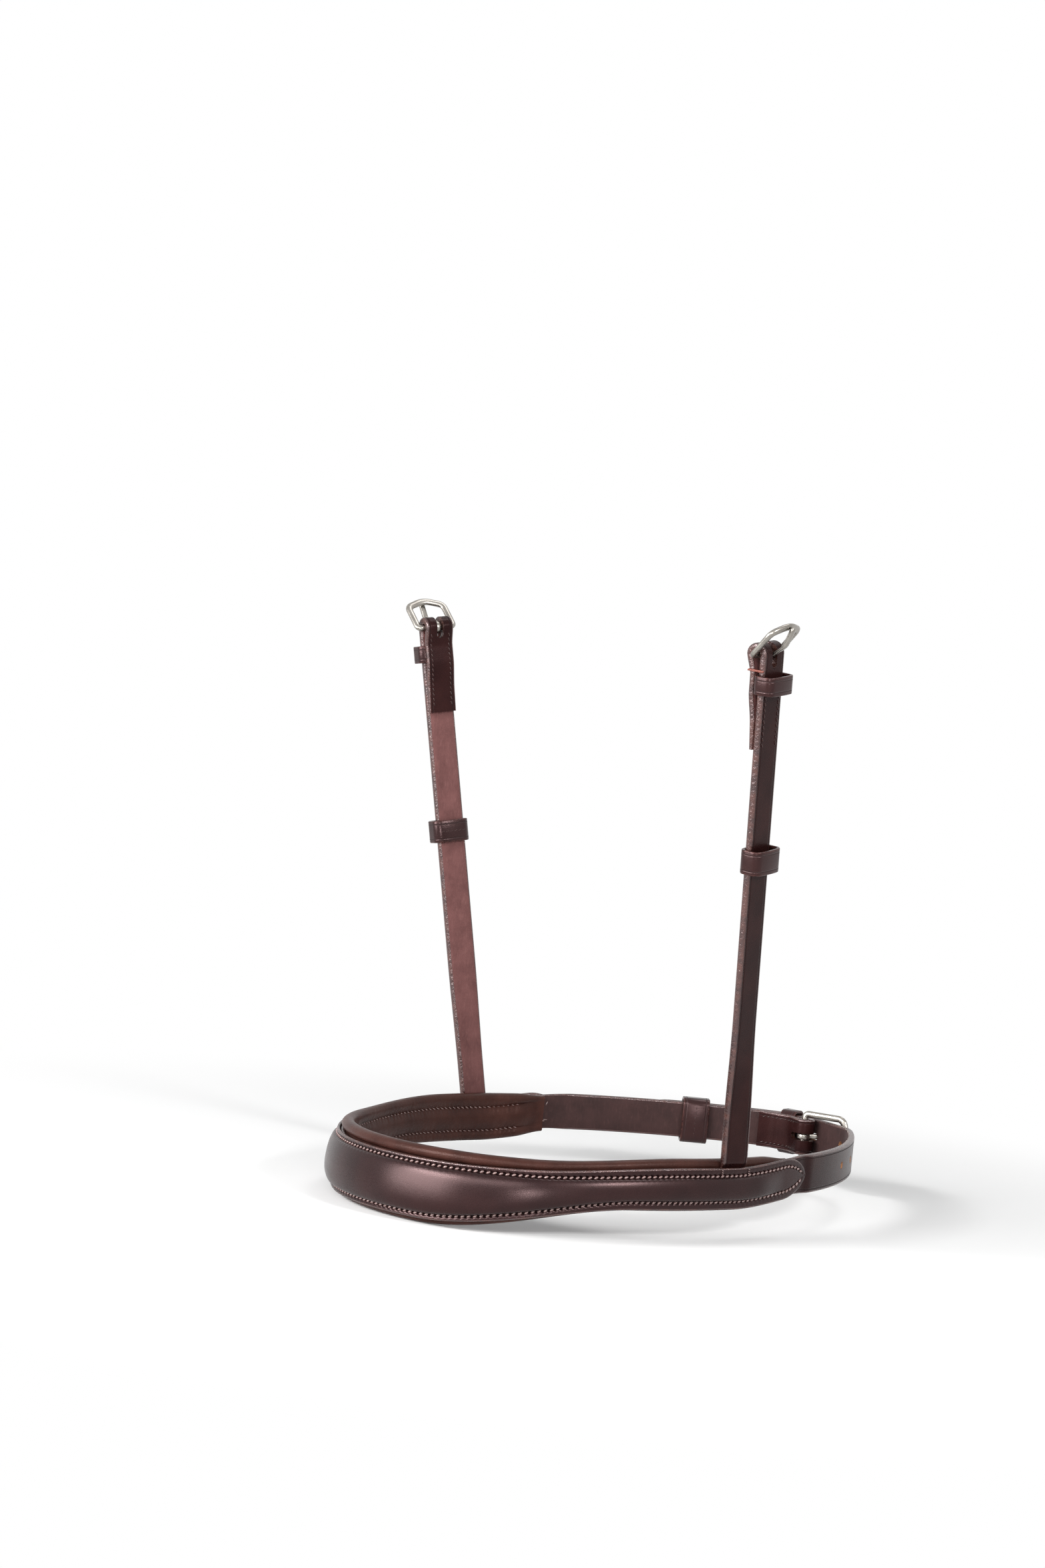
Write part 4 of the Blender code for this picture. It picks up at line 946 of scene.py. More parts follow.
def strap_ring(centre, through, across, wall, width, along):
    """Points round a strap: through is the way its grain side faces."""
    deep, half = wall / 2, width / 2
    soft = min(EDGE_SOFT * wall, half * EDGE_MOST)
    turns = [math.pi * (0.5 - i / EDGE_STEPS) for i in range(1, EDGE_STEPS)]
    edge = [(math.cos(a) ** EDGE_POWER, math.copysign(abs(math.sin(a)) ** EDGE_POWER, a)) for a in turns]
    pairs = [(lerp(soft - half, half - soft, i / FACE_STEPS), deep) for i in range(FACE_STEPS + 1)]
    pairs += [(half - soft + soft * a, deep * b) for a, b in edge]
    pairs += [(lerp(half - soft, soft - half, i / BACK_STEPS), -deep) for i in range(BACK_STEPS + 1)]
    pairs += [(soft - half - soft * a, deep * b) for a, b in reversed(edge)]
    return [(centre + across * a + through * b, (a, along, half)) for a, b in pairs]


def turned_back(end):
    """A strap past its bar as (along, out, wall, through): round the bar, over the fixed keeper, and flat
    on the strap to its thinned end."""
    path = []
    for i in range(1, BEND_STEPS + 1):
        through = (math.sin(math.pi * i / BEND_STEPS), math.cos(math.pi * i / BEND_STEPS))
        path.append((TURN_RADIUS * through[0], TURN_RADIUS * (through[1] - 1), STRAP_WALL, through))
    over_keeper = -STRAP_WALL / 2 - FIXED_WALL - 2 * FIT - CHAPE_WALL / 2
    keeper_start, keeper_end = FIXED_BELOW_BAR - FIXED_LENGTH / 2 - FIT, FIXED_BELOW_BAR + FIXED_LENGTH / 2 + FIT
    marks = [(0, -2 * TURN_RADIUS, STRAP_WALL), (keeper_start, over_keeper, CHAPE_WALL),
             (keeper_end, over_keeper, CHAPE_WALL),
             (lerp(keeper_end, end, 0.5), -STRAP_WALL / 2 - FIT - CHAPE_WALL / 2, CHAPE_WALL),
             (end, -STRAP_WALL / 2 - FIT - CHAPE_END_WALL / 2, CHAPE_END_WALL)]
    for number, (first, second) in enumerate(zip(marks, marks[1:])):
        for part in (i / MARK_STEPS for i in range(1, MARK_STEPS + 1)):
            share = part if number in (1, 3) else ease(part, 0, 1) * 0.4 + part * 0.6
            along, wall = lerp(first[0], second[0], part), lerp(first[2], second[2], part)
            path.append((-along, lerp(first[1], second[1], share), wall, INWARDS))
    return path


def slot_outline(origin, across, along):
    """A punched slot with round ends, from below the bar to past the fold."""
    foot = arc((0, SLOT_HALF - SLOT_BELOW), SLOT_HALF, math.pi, 2 * math.pi, 10)
    end = TURN_RADIUS + STRAP_WALL
    return [origin + across * a + along * b for a, b in foot + [(SLOT_HALF, end), (-SLOT_HALF, end)]]


def strap(name, rings, finishes=STRAP_FINISH):
    return carried(name, rings, STRAP_KINDS, finishes)


print("round a strap:", len(STRAP_KINDS), "points")

# %% [markdown]
# The jaw strap is in two parts. The near one is the billet: it goes through the buckle, lies on the
# far one and ends in a point that stands up a little. Its holes are punched through to the raw hide,
# and the one in use has stretched. The far one turns back round the bar of the buckle.

# %% Jaw straps
BAR_RUN = HALF_ROUND - 5 * MM
JAW_CHAPE, JAW_REACH = 25 * MM, 19 * MM
PAST_REAR = HALF_ROUND + 5 * MM
BILLET_TIP, BILLET_POINT, BILLET_LIFT = PAST_REAR + 76.6 * MM, 13 * MM, 1.3 * MM
HOLE_DIAMETER, HOLE_PITCH, HOLE_STRETCH, HOLE_STEPS = 3.2 * MM, 20.8 * MM, 2.5 * MM, 28
HOLES = range(-4, 3)  # counted from the one in use
JAW_STEP = 1.8 * MM
KNEE = Vector((3.8 * MM, BAR_BEHIND + 2 * BILLET_OVER + 0.9 * MM))  # where the tongue bends, seen from the bar
TONGUE_WALL, TONGUE_DEPTH = 1.2 * MM, 1.8 * MM
TONGUE_RADIUS = BAR_BEHIND + TONGUE_WALL / 2
EYE_END = math.atan2(KNEE.y, KNEE.x) + math.acos(TONGUE_RADIUS / KNEE.length)
LEAVES = Vector((math.cos(EYE_END), math.sin(EYE_END))) * TONGUE_RADIUS
CROSSING_SHARE = (BAR_BEHIND + BILLET_OVER + STRAP_WALL / 2 - LEAVES.y) / (KNEE.y - LEAVES.y)
TONGUE_CROSSING = lerp(LEAVES.x, KNEE.x, CROSSING_SHARE) - HOLE_STRETCH / 8


def jaw_wall(run):
    return lerp(BACKING_WALL, STRAP_WALL, ease(run, OUTER_RUN, STRAP_RUN))


def jaw_width(run):
    return lerp(sewn_width(run), JAW_WIDTH, ease(run, LINING_RUN, STRAP_RUN))


def jaw_ring(side, run, out, height, wall, width):
    point, outward, _ = plan(side, run)
    return strap_ring(point + outward * (out + wall / 2) + UP * height, outward, UP, wall, width, run)


def billet_out(run):
    return BILLET_OVER * ease(run, PAST_REAR - JAW_REACH - BAR_RADIUS, PAST_REAR - BAR_RADIUS)


def make_billet():
    rings = []
    tip, tip_start = point_runs(BILLET_TIP - 0.02 * MM, BILLET_POINT), BILLET_TIP - BILLET_POINT
    for run in runs_between(BACKING_RUN + FIT, tip_start, JAW_STEP, tip):
        width = jaw_width(run) * pointed(1 - (BILLET_TIP - run) / BILLET_POINT)
        lift = BILLET_LIFT * ease(run, tip_start, BILLET_TIP - 0.2 * BILLET_POINT)
        height = middle(min(run, OUTER_RUN)) + lift
        rings.append(jaw_ring(NEAR, run, billet_out(run), height, jaw_wall(run), width))
    piece = strap("jaw_billet", rings, JAW_FINISH)
    for number in HOLES:
        run = PAST_REAR - TONGUE_CROSSING + number * HOLE_PITCH
        stretch = HOLE_STRETCH / 2 if number == 0 else 0.0
        point, outward, forward = plan(NEAR, run)
        centre = point + outward * (billet_out(run) + STRAP_WALL / 2) + UP * JAW_HEIGHT
        half_step = math.pi / HOLE_STEPS
        circle = arc((0, 0), HOLE_DIAMETER / 2, half_step, 2 * math.pi - half_step, HOLE_STEPS - 1)
        outline = [centre + forward * (a + math.copysign(stretch, a)) + UP * b for a, b in circle]
        cut(piece, outline, outward * STRAP_WALL, RAW)
    settle(piece, "ring", "bridle_leather", "near_jaw_billet")


def make_far_strap():
    rings = []
    for run in runs_between(BACKING_RUN + FIT, BAR_RUN, JAW_STEP):
        rings.append(jaw_ring(FAR, run, 0, middle(min(run, OUTER_RUN)), jaw_wall(run), jaw_width(run)))
    for along, out, wall, (ahead, outwards) in turned_back(JAW_CHAPE):
        point, outward, forward = plan(FAR, BAR_RUN + min(along, 0.0))
        centre = point + forward * max(along, 0.0) + outward * (STRAP_WALL / 2 + out) + UP * JAW_HEIGHT
        through = forward * ahead + outward * outwards
        rings.append(strap_ring(centre, through, UP, wall, JAW_WIDTH, BAR_RUN + (TURN_RADIUS - along)))
    piece = strap("far_strap", rings, JAW_FINISH)
    point, outward, forward = plan(FAR, BAR_RUN)
    cut(piece, slot_outline(point + UP * JAW_HEIGHT, UP, forward), outward * (2 * TURN_RADIUS + STRAP_WALL), EDGE)
    settle(piece, "ring", "bridle_leather", "far_jaw_strap")


make_billet()
make_far_strap()

# %% [markdown]
# A cheek strap leaves the nose piece between two layers, stands up, turns a little towards the rear
# and ends in a fold round its buckle. It is one strip of leather from its sewn-in end upwards, so it is
# made as one piece, and it bends where it leaves the nose piece.

# %% Cheek straps
CHEEK_CHAPE = 37 * MM
SQUARE_RUN, TWISTED_RUN = 12 * MM, 60 * MM


def cheek_ring(side, y, wall):
    turn = Matrix.Rotation(-side * CHEEK_TWIST * (1 - ease(y, SQUARE_RUN, TWISTED_RUN)), 3, "Y")
    across = Vector((1, -side * math.tan(CHEEK_LEAN) * (1 - ease(y, 0, SQUARE_RUN)), 0))
    return strap_ring(Y_AXIS * y, turn @ Z_AXIS, turn @ across, wall, CHEEK_WIDTH, y)


def placed(matrix, ring):
    return [(matrix @ place, lay) for place, lay in ring]


def make_cheek_strap(name, side):
    tail, fold = tail_frame(side), fold_frame(side)
    skew = Vector((1, -side * math.tan(CHEEK_LEAN), 0))
    seat, top = Vector((0, 0, BACKING_WALL / 2 - CHEEK_OUT)), -STRAP_WALL / 2 - FIT
    rings = []
    for y in runs_between(top - TAIL_LENGTH, top, 2 * MM):
        rings.append(placed(tail, strap_ring(seat + Y_AXIS * y, Z_AXIS, skew, TAIL_WALL, CHEEK_WIDTH, y)))
    for share in (0.25, 0.5, 0.75):
        y, wall = lerp(top, 0.4 * MM, share), lerp(TAIL_WALL, STRAP_WALL, ease(share, 0, 1))
        low = strap_ring(seat * (1 - share) + Y_AXIS * y, Z_AXIS, skew, wall, CHEEK_WIDTH, y)
        high = cheek_ring(side, y, wall)
        rings.append([((tail @ a).lerp(fold @ b, ease(share, 0, 1)), lay) for (a, lay), (b, _) in zip(low, high)])
    ys = runs_between(0.4 * MM, 10 * MM, 0.8 * MM) + runs_between(12 * MM, CHEEK_LENGTH, 4 * MM)
    rings += [placed(fold, cheek_ring(side, y, STRAP_WALL)) for y in ys]
    for along, out, wall, through in turned_back(CHEEK_CHAPE):
        centre = Vector((0, CHEEK_LENGTH + along, out))
        at = CHEEK_LENGTH + TURN_RADIUS - along
        rings.append(placed(fold, strap_ring(centre, Vector((0, *through)), X_AXIS, wall, CHEEK_WIDTH, at)))
    piece = strap(f"{name}_cheek_strap_leather", rings)
    outline = [fold @ point for point in slot_outline(Y_AXIS * CHEEK_LENGTH, X_AXIS, Y_AXIS)]
    cut(piece, outline, fold.to_3x3() @ Z_AXIS * (2 * TURN_RADIUS + STRAP_WALL), EDGE)
    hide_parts(f"{name}_cheek_strap", f"{name}_cheek_tail")
    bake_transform(piece)
    report(piece)


for name, side in SIDES:
    make_cheek_strap(name, side)

# %% [markdown]
# Keepers follow one rule: a thin flat strip bent into a rounded rectangle round the strap. A node tree
# makes it from its inner width, inner height, wall, length and corner: a filleted rectangle is the
# path, and a small rounded rectangle, the strip's section, is carried round it.

# %% Node trees
KEEPER_STEP = 0.45 * MM


class Tree:
    """A geometry node tree with named number inputs, put on an object as a modifier."""

    def __init__(self, name, numbers=()):
        self.tree = bpy.data.node_groups.new(name, "GeometryNodeTree")
        self.tree.interface.new_socket("Geometry", in_out="INPUT", socket_type="NodeSocketGeometry")
        self.ids = {}
        for number, value in numbers:
            kind = "NodeSocketInt" if isinstance(value, int) else "NodeSocketFloat"
            socket = self.tree.interface.new_socket(number, in_out="INPUT", socket_type=kind)
            socket.default_value = value
            self.ids[number] = socket.identifier
        self.tree.interface.new_socket("Geometry", in_out="OUTPUT", socket_type="NodeSocketGeometry")
        self.input = self.tree.nodes.new("NodeGroupInput").outputs

    def add(self, kind, settings, given):
        """Adds a node and gives back its first output that is in use."""
        return next(output for output in add_node(self.tree, kind, settings, given).outputs if output.enabled)

    def put(self, kind, settings=None, **given):
        """The same, with the inputs by name, where _ stands for a space."""
        return self.add(kind, settings, {socket.replace("_", " "): value for socket, value in given.items()})

    def maths(self, operation, first, second=0.0):
        return self.add("ShaderNodeMath", {"operation": operation}, {0: first, 1: second})

    def end(self, geometry, material):
        whole = self.put("GeometryNodeRealizeInstances", Geometry=geometry)
        done = self.put("GeometryNodeSetMaterial", Geometry=whole, Material=material)
        self.tree.links.new(done, self.tree.nodes.new("NodeGroupOutput").inputs["Geometry"])

    def make(self, name, mesh, **numbers):
        """Runs the tree on a mesh and gives back a plain object."""
        made = add_object(name, mesh)
        modifier = made.modifiers.new(name, "NODES")
        modifier.node_group = self.tree
        for number, value in numbers.items():
            modifier[self.ids[number]] = value
        bake(made)
        return made


def keeper_tree():
    tree = Tree("keeper", (("Width", 14 * MM), ("Height", 8 * MM), ("Wall", 1.3 * MM), ("Length", 10 * MM),
                           ("Corner", 1.6 * MM)))
    size = tree.input
    wide, high = tree.maths("ADD", size["Width"], size["Wall"]), tree.maths("ADD", size["Height"], size["Wall"])
    bend = tree.maths("ADD", size["Corner"], tree.maths("MULTIPLY", size["Wall"], 0.5))
    soft = tree.maths("MULTIPLY", size["Wall"], EDGE_SOFT)
    path = tree.put("GeometryNodeCurvePrimitiveQuadrilateral", Width=wide, Height=high)
    path = tree.put("GeometryNodeFilletCurve", {"mode": "POLY"}, Curve=path, Radius=bend, Count=8)
    path = tree.put("GeometryNodeResampleCurve", {"mode": "LENGTH"}, Curve=path, Length=KEEPER_STEP)
    section = tree.put("GeometryNodeCurvePrimitiveQuadrilateral", Width=size["Wall"], Height=size["Length"])
    section = tree.put("GeometryNodeFilletCurve", {"mode": "POLY"}, Curve=section, Radius=soft, Count=3)
    tree.end(tree.put("GeometryNodeCurveToMesh", Curve=path, Profile_Curve=section), KEEPER_GRAIN)
    return tree


KEEPERS = keeper_tree()
print("a keeper's numbers:", list(KEEPERS.ids))

# %% [markdown]
# Fixed keepers are sewn to the strap and loose ones slide on it, so they differ in length, wall and
# play. The strap inside pushes a keeper's front and back out a little, so each gets a shallow bow.

# %% Keepers
RUNNER_WALL, KEEPER_CORNER, BILLET_ROOM, KEEPER_BULGE = 1.3 * MM, 1.6 * MM, 3.4 * MM, 0.6 * MM
RUNNER_HEIGHTS, RUNNER_LENGTH = {NEAR: 124 * MM, FAR: 116 * MM}, 9.6 * MM
JAW_RUNNER_PAST_BAR, JAW_RUNNER_LENGTH, JAW_RUNNER_PLAY = 53.6 * MM, 12 * MM, 0.8 * MM


def keeper_bulge(across, half_width):
    return KEEPER_BULGE * max(1 - (across / half_width) ** 2, 0.0)


def keeper(name, length, wall, half_width, low, high, matrix):
    """A keeper in a strap's frame: x across, y along and z out, between low and high."""
    piece = KEEPERS.make(name, bpy.data.meshes.new(name), Width=2 * half_width, Height=high - low, Wall=wall,
                         Length=length, Corner=KEEPER_CORNER)
    mesh = bmesh.new()
    mesh.from_mesh(piece.data)
    bmesh.ops.remove_doubles(mesh, verts=mesh.verts, dist=SAME_PLACE)
    layer = mesh.verts.layers.float_vector.new("lay")
    turn = matrix @ Matrix.Translation((0, 0, (low + high) / 2)) @ Matrix.Rotation(math.pi / 2, 4, "X")
    for vert in mesh.verts:
        vert[layer] = (vert.co.z, vert.co.x + vert.co.y, length / 2)
        vert.co.y += math.copysign(keeper_bulge(vert.co.x, half_width), vert.co.y)
    for face in mesh.faces:
        face.material_index, face.smooth = int(abs(face.normal.z) > 0.5), True
    bmesh.ops.transform(mesh, matrix=turn, verts=mesh.verts)
    bmesh.ops.recalc_face_normals(mesh, faces=mesh.faces)
    mesh.to_mesh(piece.data)
    mesh.free()
    piece.data.materials.clear()
    for material in (KEEPER_GRAIN, EDGE):
        piece.data.materials.append(material)
    piece.data.set_sharp_from_angle(angle=SHARP)
    return piece


def cheek_frame_at(side, y):
    return fold_frame(side) @ Matrix.Translation((0, y, 0))


def jaw_frame_at(run):
    point, outward, forward = plan(FAR, run)
    return frame_at(point + outward * (STRAP_WALL / 2) + UP * JAW_HEIGHT, UP, forward, outward)


def make_keepers():
    half, low, high = CHEEK_WIDTH / 2 + PLAY, -STRAP_WALL / 2 - FIT, STRAP_WALL / 2 + BILLET_ROOM
    jaw_high, fixed = BILLET_OVER + STRAP_WALL / 2 + FIT, (FIXED_LENGTH, FIXED_WALL)
    runner, jaw_runner = (RUNNER_LENGTH, RUNNER_WALL), (JAW_RUNNER_LENGTH, RUNNER_WALL)
    plans = []
    for name, side in SIDES:
        fixed_at, runner_at = CHEEK_LENGTH - FIXED_BELOW_BAR, RUNNER_HEIGHTS[side]
        plans += [(f"{name}_fixed", f"{name}_cheek", fixed, half, high, cheek_frame_at(side, fixed_at)),
                  (f"{name}_runner", f"{name}_runner", runner, half, high, cheek_frame_at(side, runner_at))]
    plans += [("jaw_fixed", "ring", fixed, JAW_WIDTH / 2 + PLAY, jaw_high, jaw_frame_at(BAR_RUN - FIXED_BELOW_BAR)),
              ("jaw_runner", "jaw_runner", jaw_runner, JAW_WIDTH / 2 + JAW_RUNNER_PLAY, jaw_high,
               jaw_frame_at(BAR_RUN - JAW_RUNNER_PAST_BAR))]
    for name, body, (length, wall), half_width, high, at in plans:
        piece = keeper(f"{name}_keeper_leather", length, wall, half_width, low, high, at)
        settle(piece, body, "bridle_leather", f"{name}_keeper")


make_keepers()

# %% [markdown]
# A buckle is a frame swept once round, with a thin round bar at its foot and a flattened front bar
# that bows a little, and a tongue: a strip bent round the bar into an eye, which comes up through the
# strap, bends over and rests on the front bar.

# %% Buckles
CHEEK_REACH, CHEEK_TILT, JAW_TILT = 13.5 * MM, math.radians(40), math.radians(22)
BAR, ARM, FRONT = (2 * BAR_RADIUS, 2 * BAR_RADIUS), (3.0 * MM, 2.2 * MM), (3.2 * MM, 2.4 * MM)  # widths, depths
FRAME_CORNER, FRAME_FOOT, FRAME_ARCH = 3.2 * MM, 1.6 * MM, 1.6 * MM
CORNER_SHARE = 0.74  # of a quarter turn, before the front bar's own bow starts
EYE_SWEEP = math.radians(265)
KNEE_BEND, TONGUE_TIP, TONGUE_WIDTH, TONGUE_POWER = 2 * MM, 1.6 * MM, 2.4 * MM, 0.6
TIP_SHARES, TIP_LEFT = (0.5, 0.8, 0.95, 1.0), (0.97, 0.86, 0.62, 0.3)
ROUND_STEPS, TONGUE_STEPS = 24, 16


def frame_path(half_width, reach):
    """(x, y, width, depth) once round, from the middle of the bar."""
    def corner(points, first, second):
        last = len(points) - 1
        return [(x, y, lerp(first[0], second[0], i / last), lerp(first[1], second[1], i / last))
                for i, (x, y) in enumerate(points)]

    side, turn = half_width + ARM[0] / 2, math.pi / 2 * CORNER_SHARE
    rise, flat = reach - FRAME_CORNER - FRAME_FOOT, side - FRAME_CORNER
    right = [(x, 0, *BAR) for x in (0, side * 0.3, side * 0.6)]
    right += corner(arc((side - FRAME_FOOT, FRAME_FOOT), FRAME_FOOT, -math.pi / 2, 0, 6), BAR, ARM)
    right += [(side, FRAME_FOOT + rise * i / 6, *ARM) for i in range(1, 6)]
    right += corner(arc((side - FRAME_CORNER, reach - FRAME_CORNER), FRAME_CORNER, 0, turn, 8), ARM, FRONT)
    right += [(flat * s, reach + FRAME_ARCH * (1 - s * s), *FRONT) for s in (0.6, 0.45, 0.3, 0.15)]
    top = [(0, reach + FRAME_ARCH, *FRONT)]
    return right + top + [(-x, y, w, d) for x, y, w, d in reversed(right[1:])]


def make_buckle(name, strap_width, reach, tilt, matrix):
    path = frame_path(strap_width / 2 + PLAY, reach)
    circle = arc((0, 0), 1, 0, 2 * math.pi * (ROUND_STEPS - 1) / ROUND_STEPS, ROUND_STEPS - 1)
    rings = []
    for i, (x, y, width, depth) in enumerate(path):
        before, after = path[i - 1], path[(i + 1) % len(path)]
        normal = Vector((after[1] - before[1], before[0] - after[0], 0)).normalized()
        centre = Vector((x, y, 0))
        points = [centre + normal * (a * width / 2) + Z_AXIS * (b * depth / 2) for a, b in circle]
        rings.append([(matrix @ point, (x, y, width)) for point in points])
    piece = carried(f"{name}_buckle_frame_steel", rings, [0] * ROUND_STEPS, (STEEL,), closed=True)
    settle(piece, f"{name}_frame", "stainless_steel", f"{name}_buckle_frame")
    rings = tongue_rings(reach, tilt, matrix)
    tongue = carried(f"{name}_buckle_tongue_steel", rings, [0] * TONGUE_STEPS, (STEEL,), end_finish=0)
    settle(tongue, f"{name}_tongue", "stainless_steel", f"{name}_buckle_tongue")


def tongue_rings(reach, tilt, matrix):
    turn = Matrix.Rotation(-tilt, 2)
    angle = EYE_END - tilt
    eye = [Vector(p) for p in arc((0, 0), TONGUE_RADIUS, angle + EYE_SWEEP, angle, 26)]
    rest = Vector((reach + FRAME_ARCH, FRONT[1] / 2 + FIT + TONGUE_DEPTH / 2))
    bend = turn @ KNEE
    down, up = (rest - bend).normalized(), (bend - eye[-1]).normalized()
    before, after = bend - up * KNEE_BEND, bend + down * KNEE_BEND
    knee = [before * (1 - t) ** 2 + bend * (2 * t * (1 - t)) + after * t * t for t in [i / 8 for i in range(9)]]
    shank = [after.lerp(rest, t) for t in (0.25, 0.5, 0.75, 1.0)]
    tip = [rest + down * TONGUE_TIP * t for t in TIP_SHARES]
    path = eye + knee + shank + tip
    last, rings = len(path) - 1, []
    for i, point in enumerate(path):
        tangent = (path[min(i + 1, last)] - path[max(i - 1, 0)]).normalized()
        past_eye = min(max((i - len(eye)) / 5, 0.0), 1.0)
        wide, deep = TONGUE_WIDTH, lerp(TONGUE_WALL, TONGUE_DEPTH, past_eye)
        if i > last - len(TIP_LEFT):
            left = TIP_LEFT[i - last - 1]
            wide, deep = wide * left, deep * left
        through = Vector((0, -tangent.y, tangent.x))
        ring = []
        for k in range(TONGUE_STEPS):
            a, b = math.cos(k * math.pi / 8), math.sin(k * math.pi / 8)
            a, b = (math.copysign(abs(c) ** TONGUE_POWER, c) for c in (a, b))
            place = Vector((0, point.x, point.y)) + X_AXIS * (a * wide / 2) + through * (b * deep / 2)
            ring.append((matrix @ place, (a * wide / 2, i * MM, wide)))
        rings.append(ring)
    return rings


for name, side in SIDES:
    bar = fold_frame(side) @ Matrix.Translation((0, CHEEK_LENGTH, -TURN_RADIUS))
    make_buckle(name, CHEEK_WIDTH, CHEEK_REACH, CHEEK_TILT, bar @ Matrix.Rotation(CHEEK_TILT, 4, "X"))
point, outward, forward = plan(FAR, BAR_RUN)
bar = frame_at(point - outward * BAR_BEHIND + UP * JAW_HEIGHT, UP, forward, outward)
make_buckle("jaw", JAW_WIDTH, JAW_REACH, JAW_TILT, bar @ Matrix.Rotation(JAW_TILT, 4, "X"))

# %% [markdown]
# Stitches repeat along a row, so a node tree places them: the row is a line of points that know which
# way the leather faces there, it is cut up at the stitch pitch, and a small rounded stitch is put at
# each place, turned along the row and then slanted as a saddler's awl slants it.

# %% Stitching
UNEVEN = 0.07  # how far, in radians, a stitch may turn from its row's slant


def stitch_tree():
    tree = Tree("stitching", (("Pitch", STITCH_PITCH), ("Stitch", 2.3 * MM), ("Thread", 0.75 * MM), ("Slant", 0.35),
                              ("Seed", 4)))
    given = tree.input
    line = tree.put("GeometryNodeMeshToCurve", Mesh=given["Geometry"])
    spans = tree.maths("ROUND", tree.maths("DIVIDE", tree.put("GeometryNodeSplineLength"), given["Pitch"]))
    count = tree.maths("ADD", spans, 1.0)
    line = tree.put("GeometryNodeResampleCurve", {"mode": "COUNT"}, Curve=line, Count=count)
    facing = tree.put("GeometryNodeInputNamedAttribute", {"data_type": "FLOAT_VECTOR"}, Name="facing")
    align = "FunctionNodeAlignRotationToVector"
    turn = tree.put(align, {"axis": "X"}, Vector=tree.put("GeometryNodeInputTangent"))
    turn = tree.put(align, {"axis": "Z", "pivot_axis": "X"}, Rotation=turn, Vector=facing)
    chance = tree.put("FunctionNodeRandomValue", {"data_type": "FLOAT"}, Min=-UNEVEN, Max=UNEVEN, Seed=given["Seed"])
    angle = tree.maths("ADD", chance, given["Slant"])
    lean = tree.put("FunctionNodeAxisAngleToRotation", Axis=(0, 0, 1), Angle=angle)
    turn = tree.put("FunctionNodeRotateRotation", {"rotation_space": "LOCAL"}, Rotation=turn, Rotate_By=lean)
    bead = tree.put("GeometryNodeMeshUVSphere", Segments=8, Rings=6, Radius=0.5)
    size = tree.put("ShaderNodeCombineXYZ", X=given["Stitch"], Y=given["Thread"], Z=given["Thread"])
    beads = tree.put("GeometryNodeInstanceOnPoints", Points=line, Instance=bead, Rotation=turn, Scale=size)
    tree.end(beads, THREAD)
    return tree


STITCHES = stitch_tree()


def stitched(name, body, rows, thread=THREAD, **numbers):
    """Stitches along rows of (place, facing) points, as one piece that moves with a body."""
    mesh = bpy.data.meshes.new(name)
    places = [place for line in rows for place, _ in line]
    edges, start = [], 0
    for line in rows:
        edges += [(start + i, start + i + 1) for i in range(len(line) - 1)]
        start += len(line)
    mesh.from_pydata(places, edges, [])
    layer = mesh.attributes.new("facing", "FLOAT_VECTOR", "POINT")
    for i, facing in enumerate(facing for line in rows for _, facing in line):
        layer.data[i].vector = facing
    piece = STITCHES.make(name, mesh, **numbers)
    piece.data.materials.clear()
    piece.data.materials.append(thread)
    for face in piece.data.polygons:
        face.material_index, face.use_smooth = 0, True
    settle(piece, body, "bridle_leather")


print("a stitch's numbers:", list(STITCHES.ids))

# %% [markdown]
# Each row has a size and a thread of its own: large and pale on the nose piece, where the paleness is partly a
# painted highlight, and small and dark where straps turn back and where a keeper's ends meet. The loose thread lies
# over the near strap's edge.

# %% Rows of stitches
SLANT, PROUD = 0.42, 0.08 * MM  # radians to the row, and how far the thread's middle stands out of a strap
CHAPE_ROW_IN = 2.2 * MM
SMALL = {"Pitch": 2.2 * MM, "Stitch": 1.9 * MM, "Thread": 0.6 * MM}
FINE = {"Pitch": 2.2 * MM, "Stitch": 1.7 * MM, "Thread": 0.4 * MM}
LOOSE = {"Pitch": 0.6 * MM, "Stitch": 1.5 * MM, "Thread": 0.8 * MM, "Slant": 0.55}
TACK = {"Pitch": 1.1 * MM, "Stitch": 1.0 * MM, "Thread": 0.45 * MM, "Slant": 1.3}
rows = [row.points for row in NOSE_ROWS.values()]
stitched("nose_stitches", "ring", rows, Stitch=1.9 * MM, Thread=1.0 * MM, Slant=SLANT)
inside = -PAD_ROWS - 0.1 * MM
rows = [Row(side, inside, -1, LINING_RUN - LINING_TAPER).points for side in (1, -1)]
stitched("lining_stitches", "ring", rows, Thread=0.6 * MM, Slant=-SLANT)
rows = []
for side in (1, -1):
    row = Row(side, -PROUD, -1, ROW_END)
    for end in (1, -1):
        rows.append([point for run, point in zip(row.runs, row.points)
                     if LINING_RUN + 0.5 * MM < run * end < OUTER_RUN - 7 * MM])
stitched("jaw_stitches", "ring", rows, Thread=0.55 * MM, Slant=-SLANT)


def chape_rows(matrix_at, width, end):
    """Rows along both edges of a turned-back end: on the strap's grain side, and on the end itself."""
    ys = runs_between(FIXED_BELOW_BAR + FIXED_LENGTH / 2 + 1.5 * MM, end - 2 * MM, 2 * MM)
    front = [(-y, STRAP_WALL / 2 + PROUD, Z_AXIS) for y in ys]
    back = [(along, out - wall / 2 - PROUD, -Z_AXIS) for along, out, wall, _ in turned_back(end)
            if 2 * MM - end < along < -TURN_RADIUS]
    return [[(matrix_at(along) @ Vector((x, 0, out)), matrix_at(along).to_3x3() @ facing)
             for along, out, facing in line]
            for x in (CHAPE_ROW_IN - width / 2, width / 2 - CHAPE_ROW_IN) for line in (front, back)]


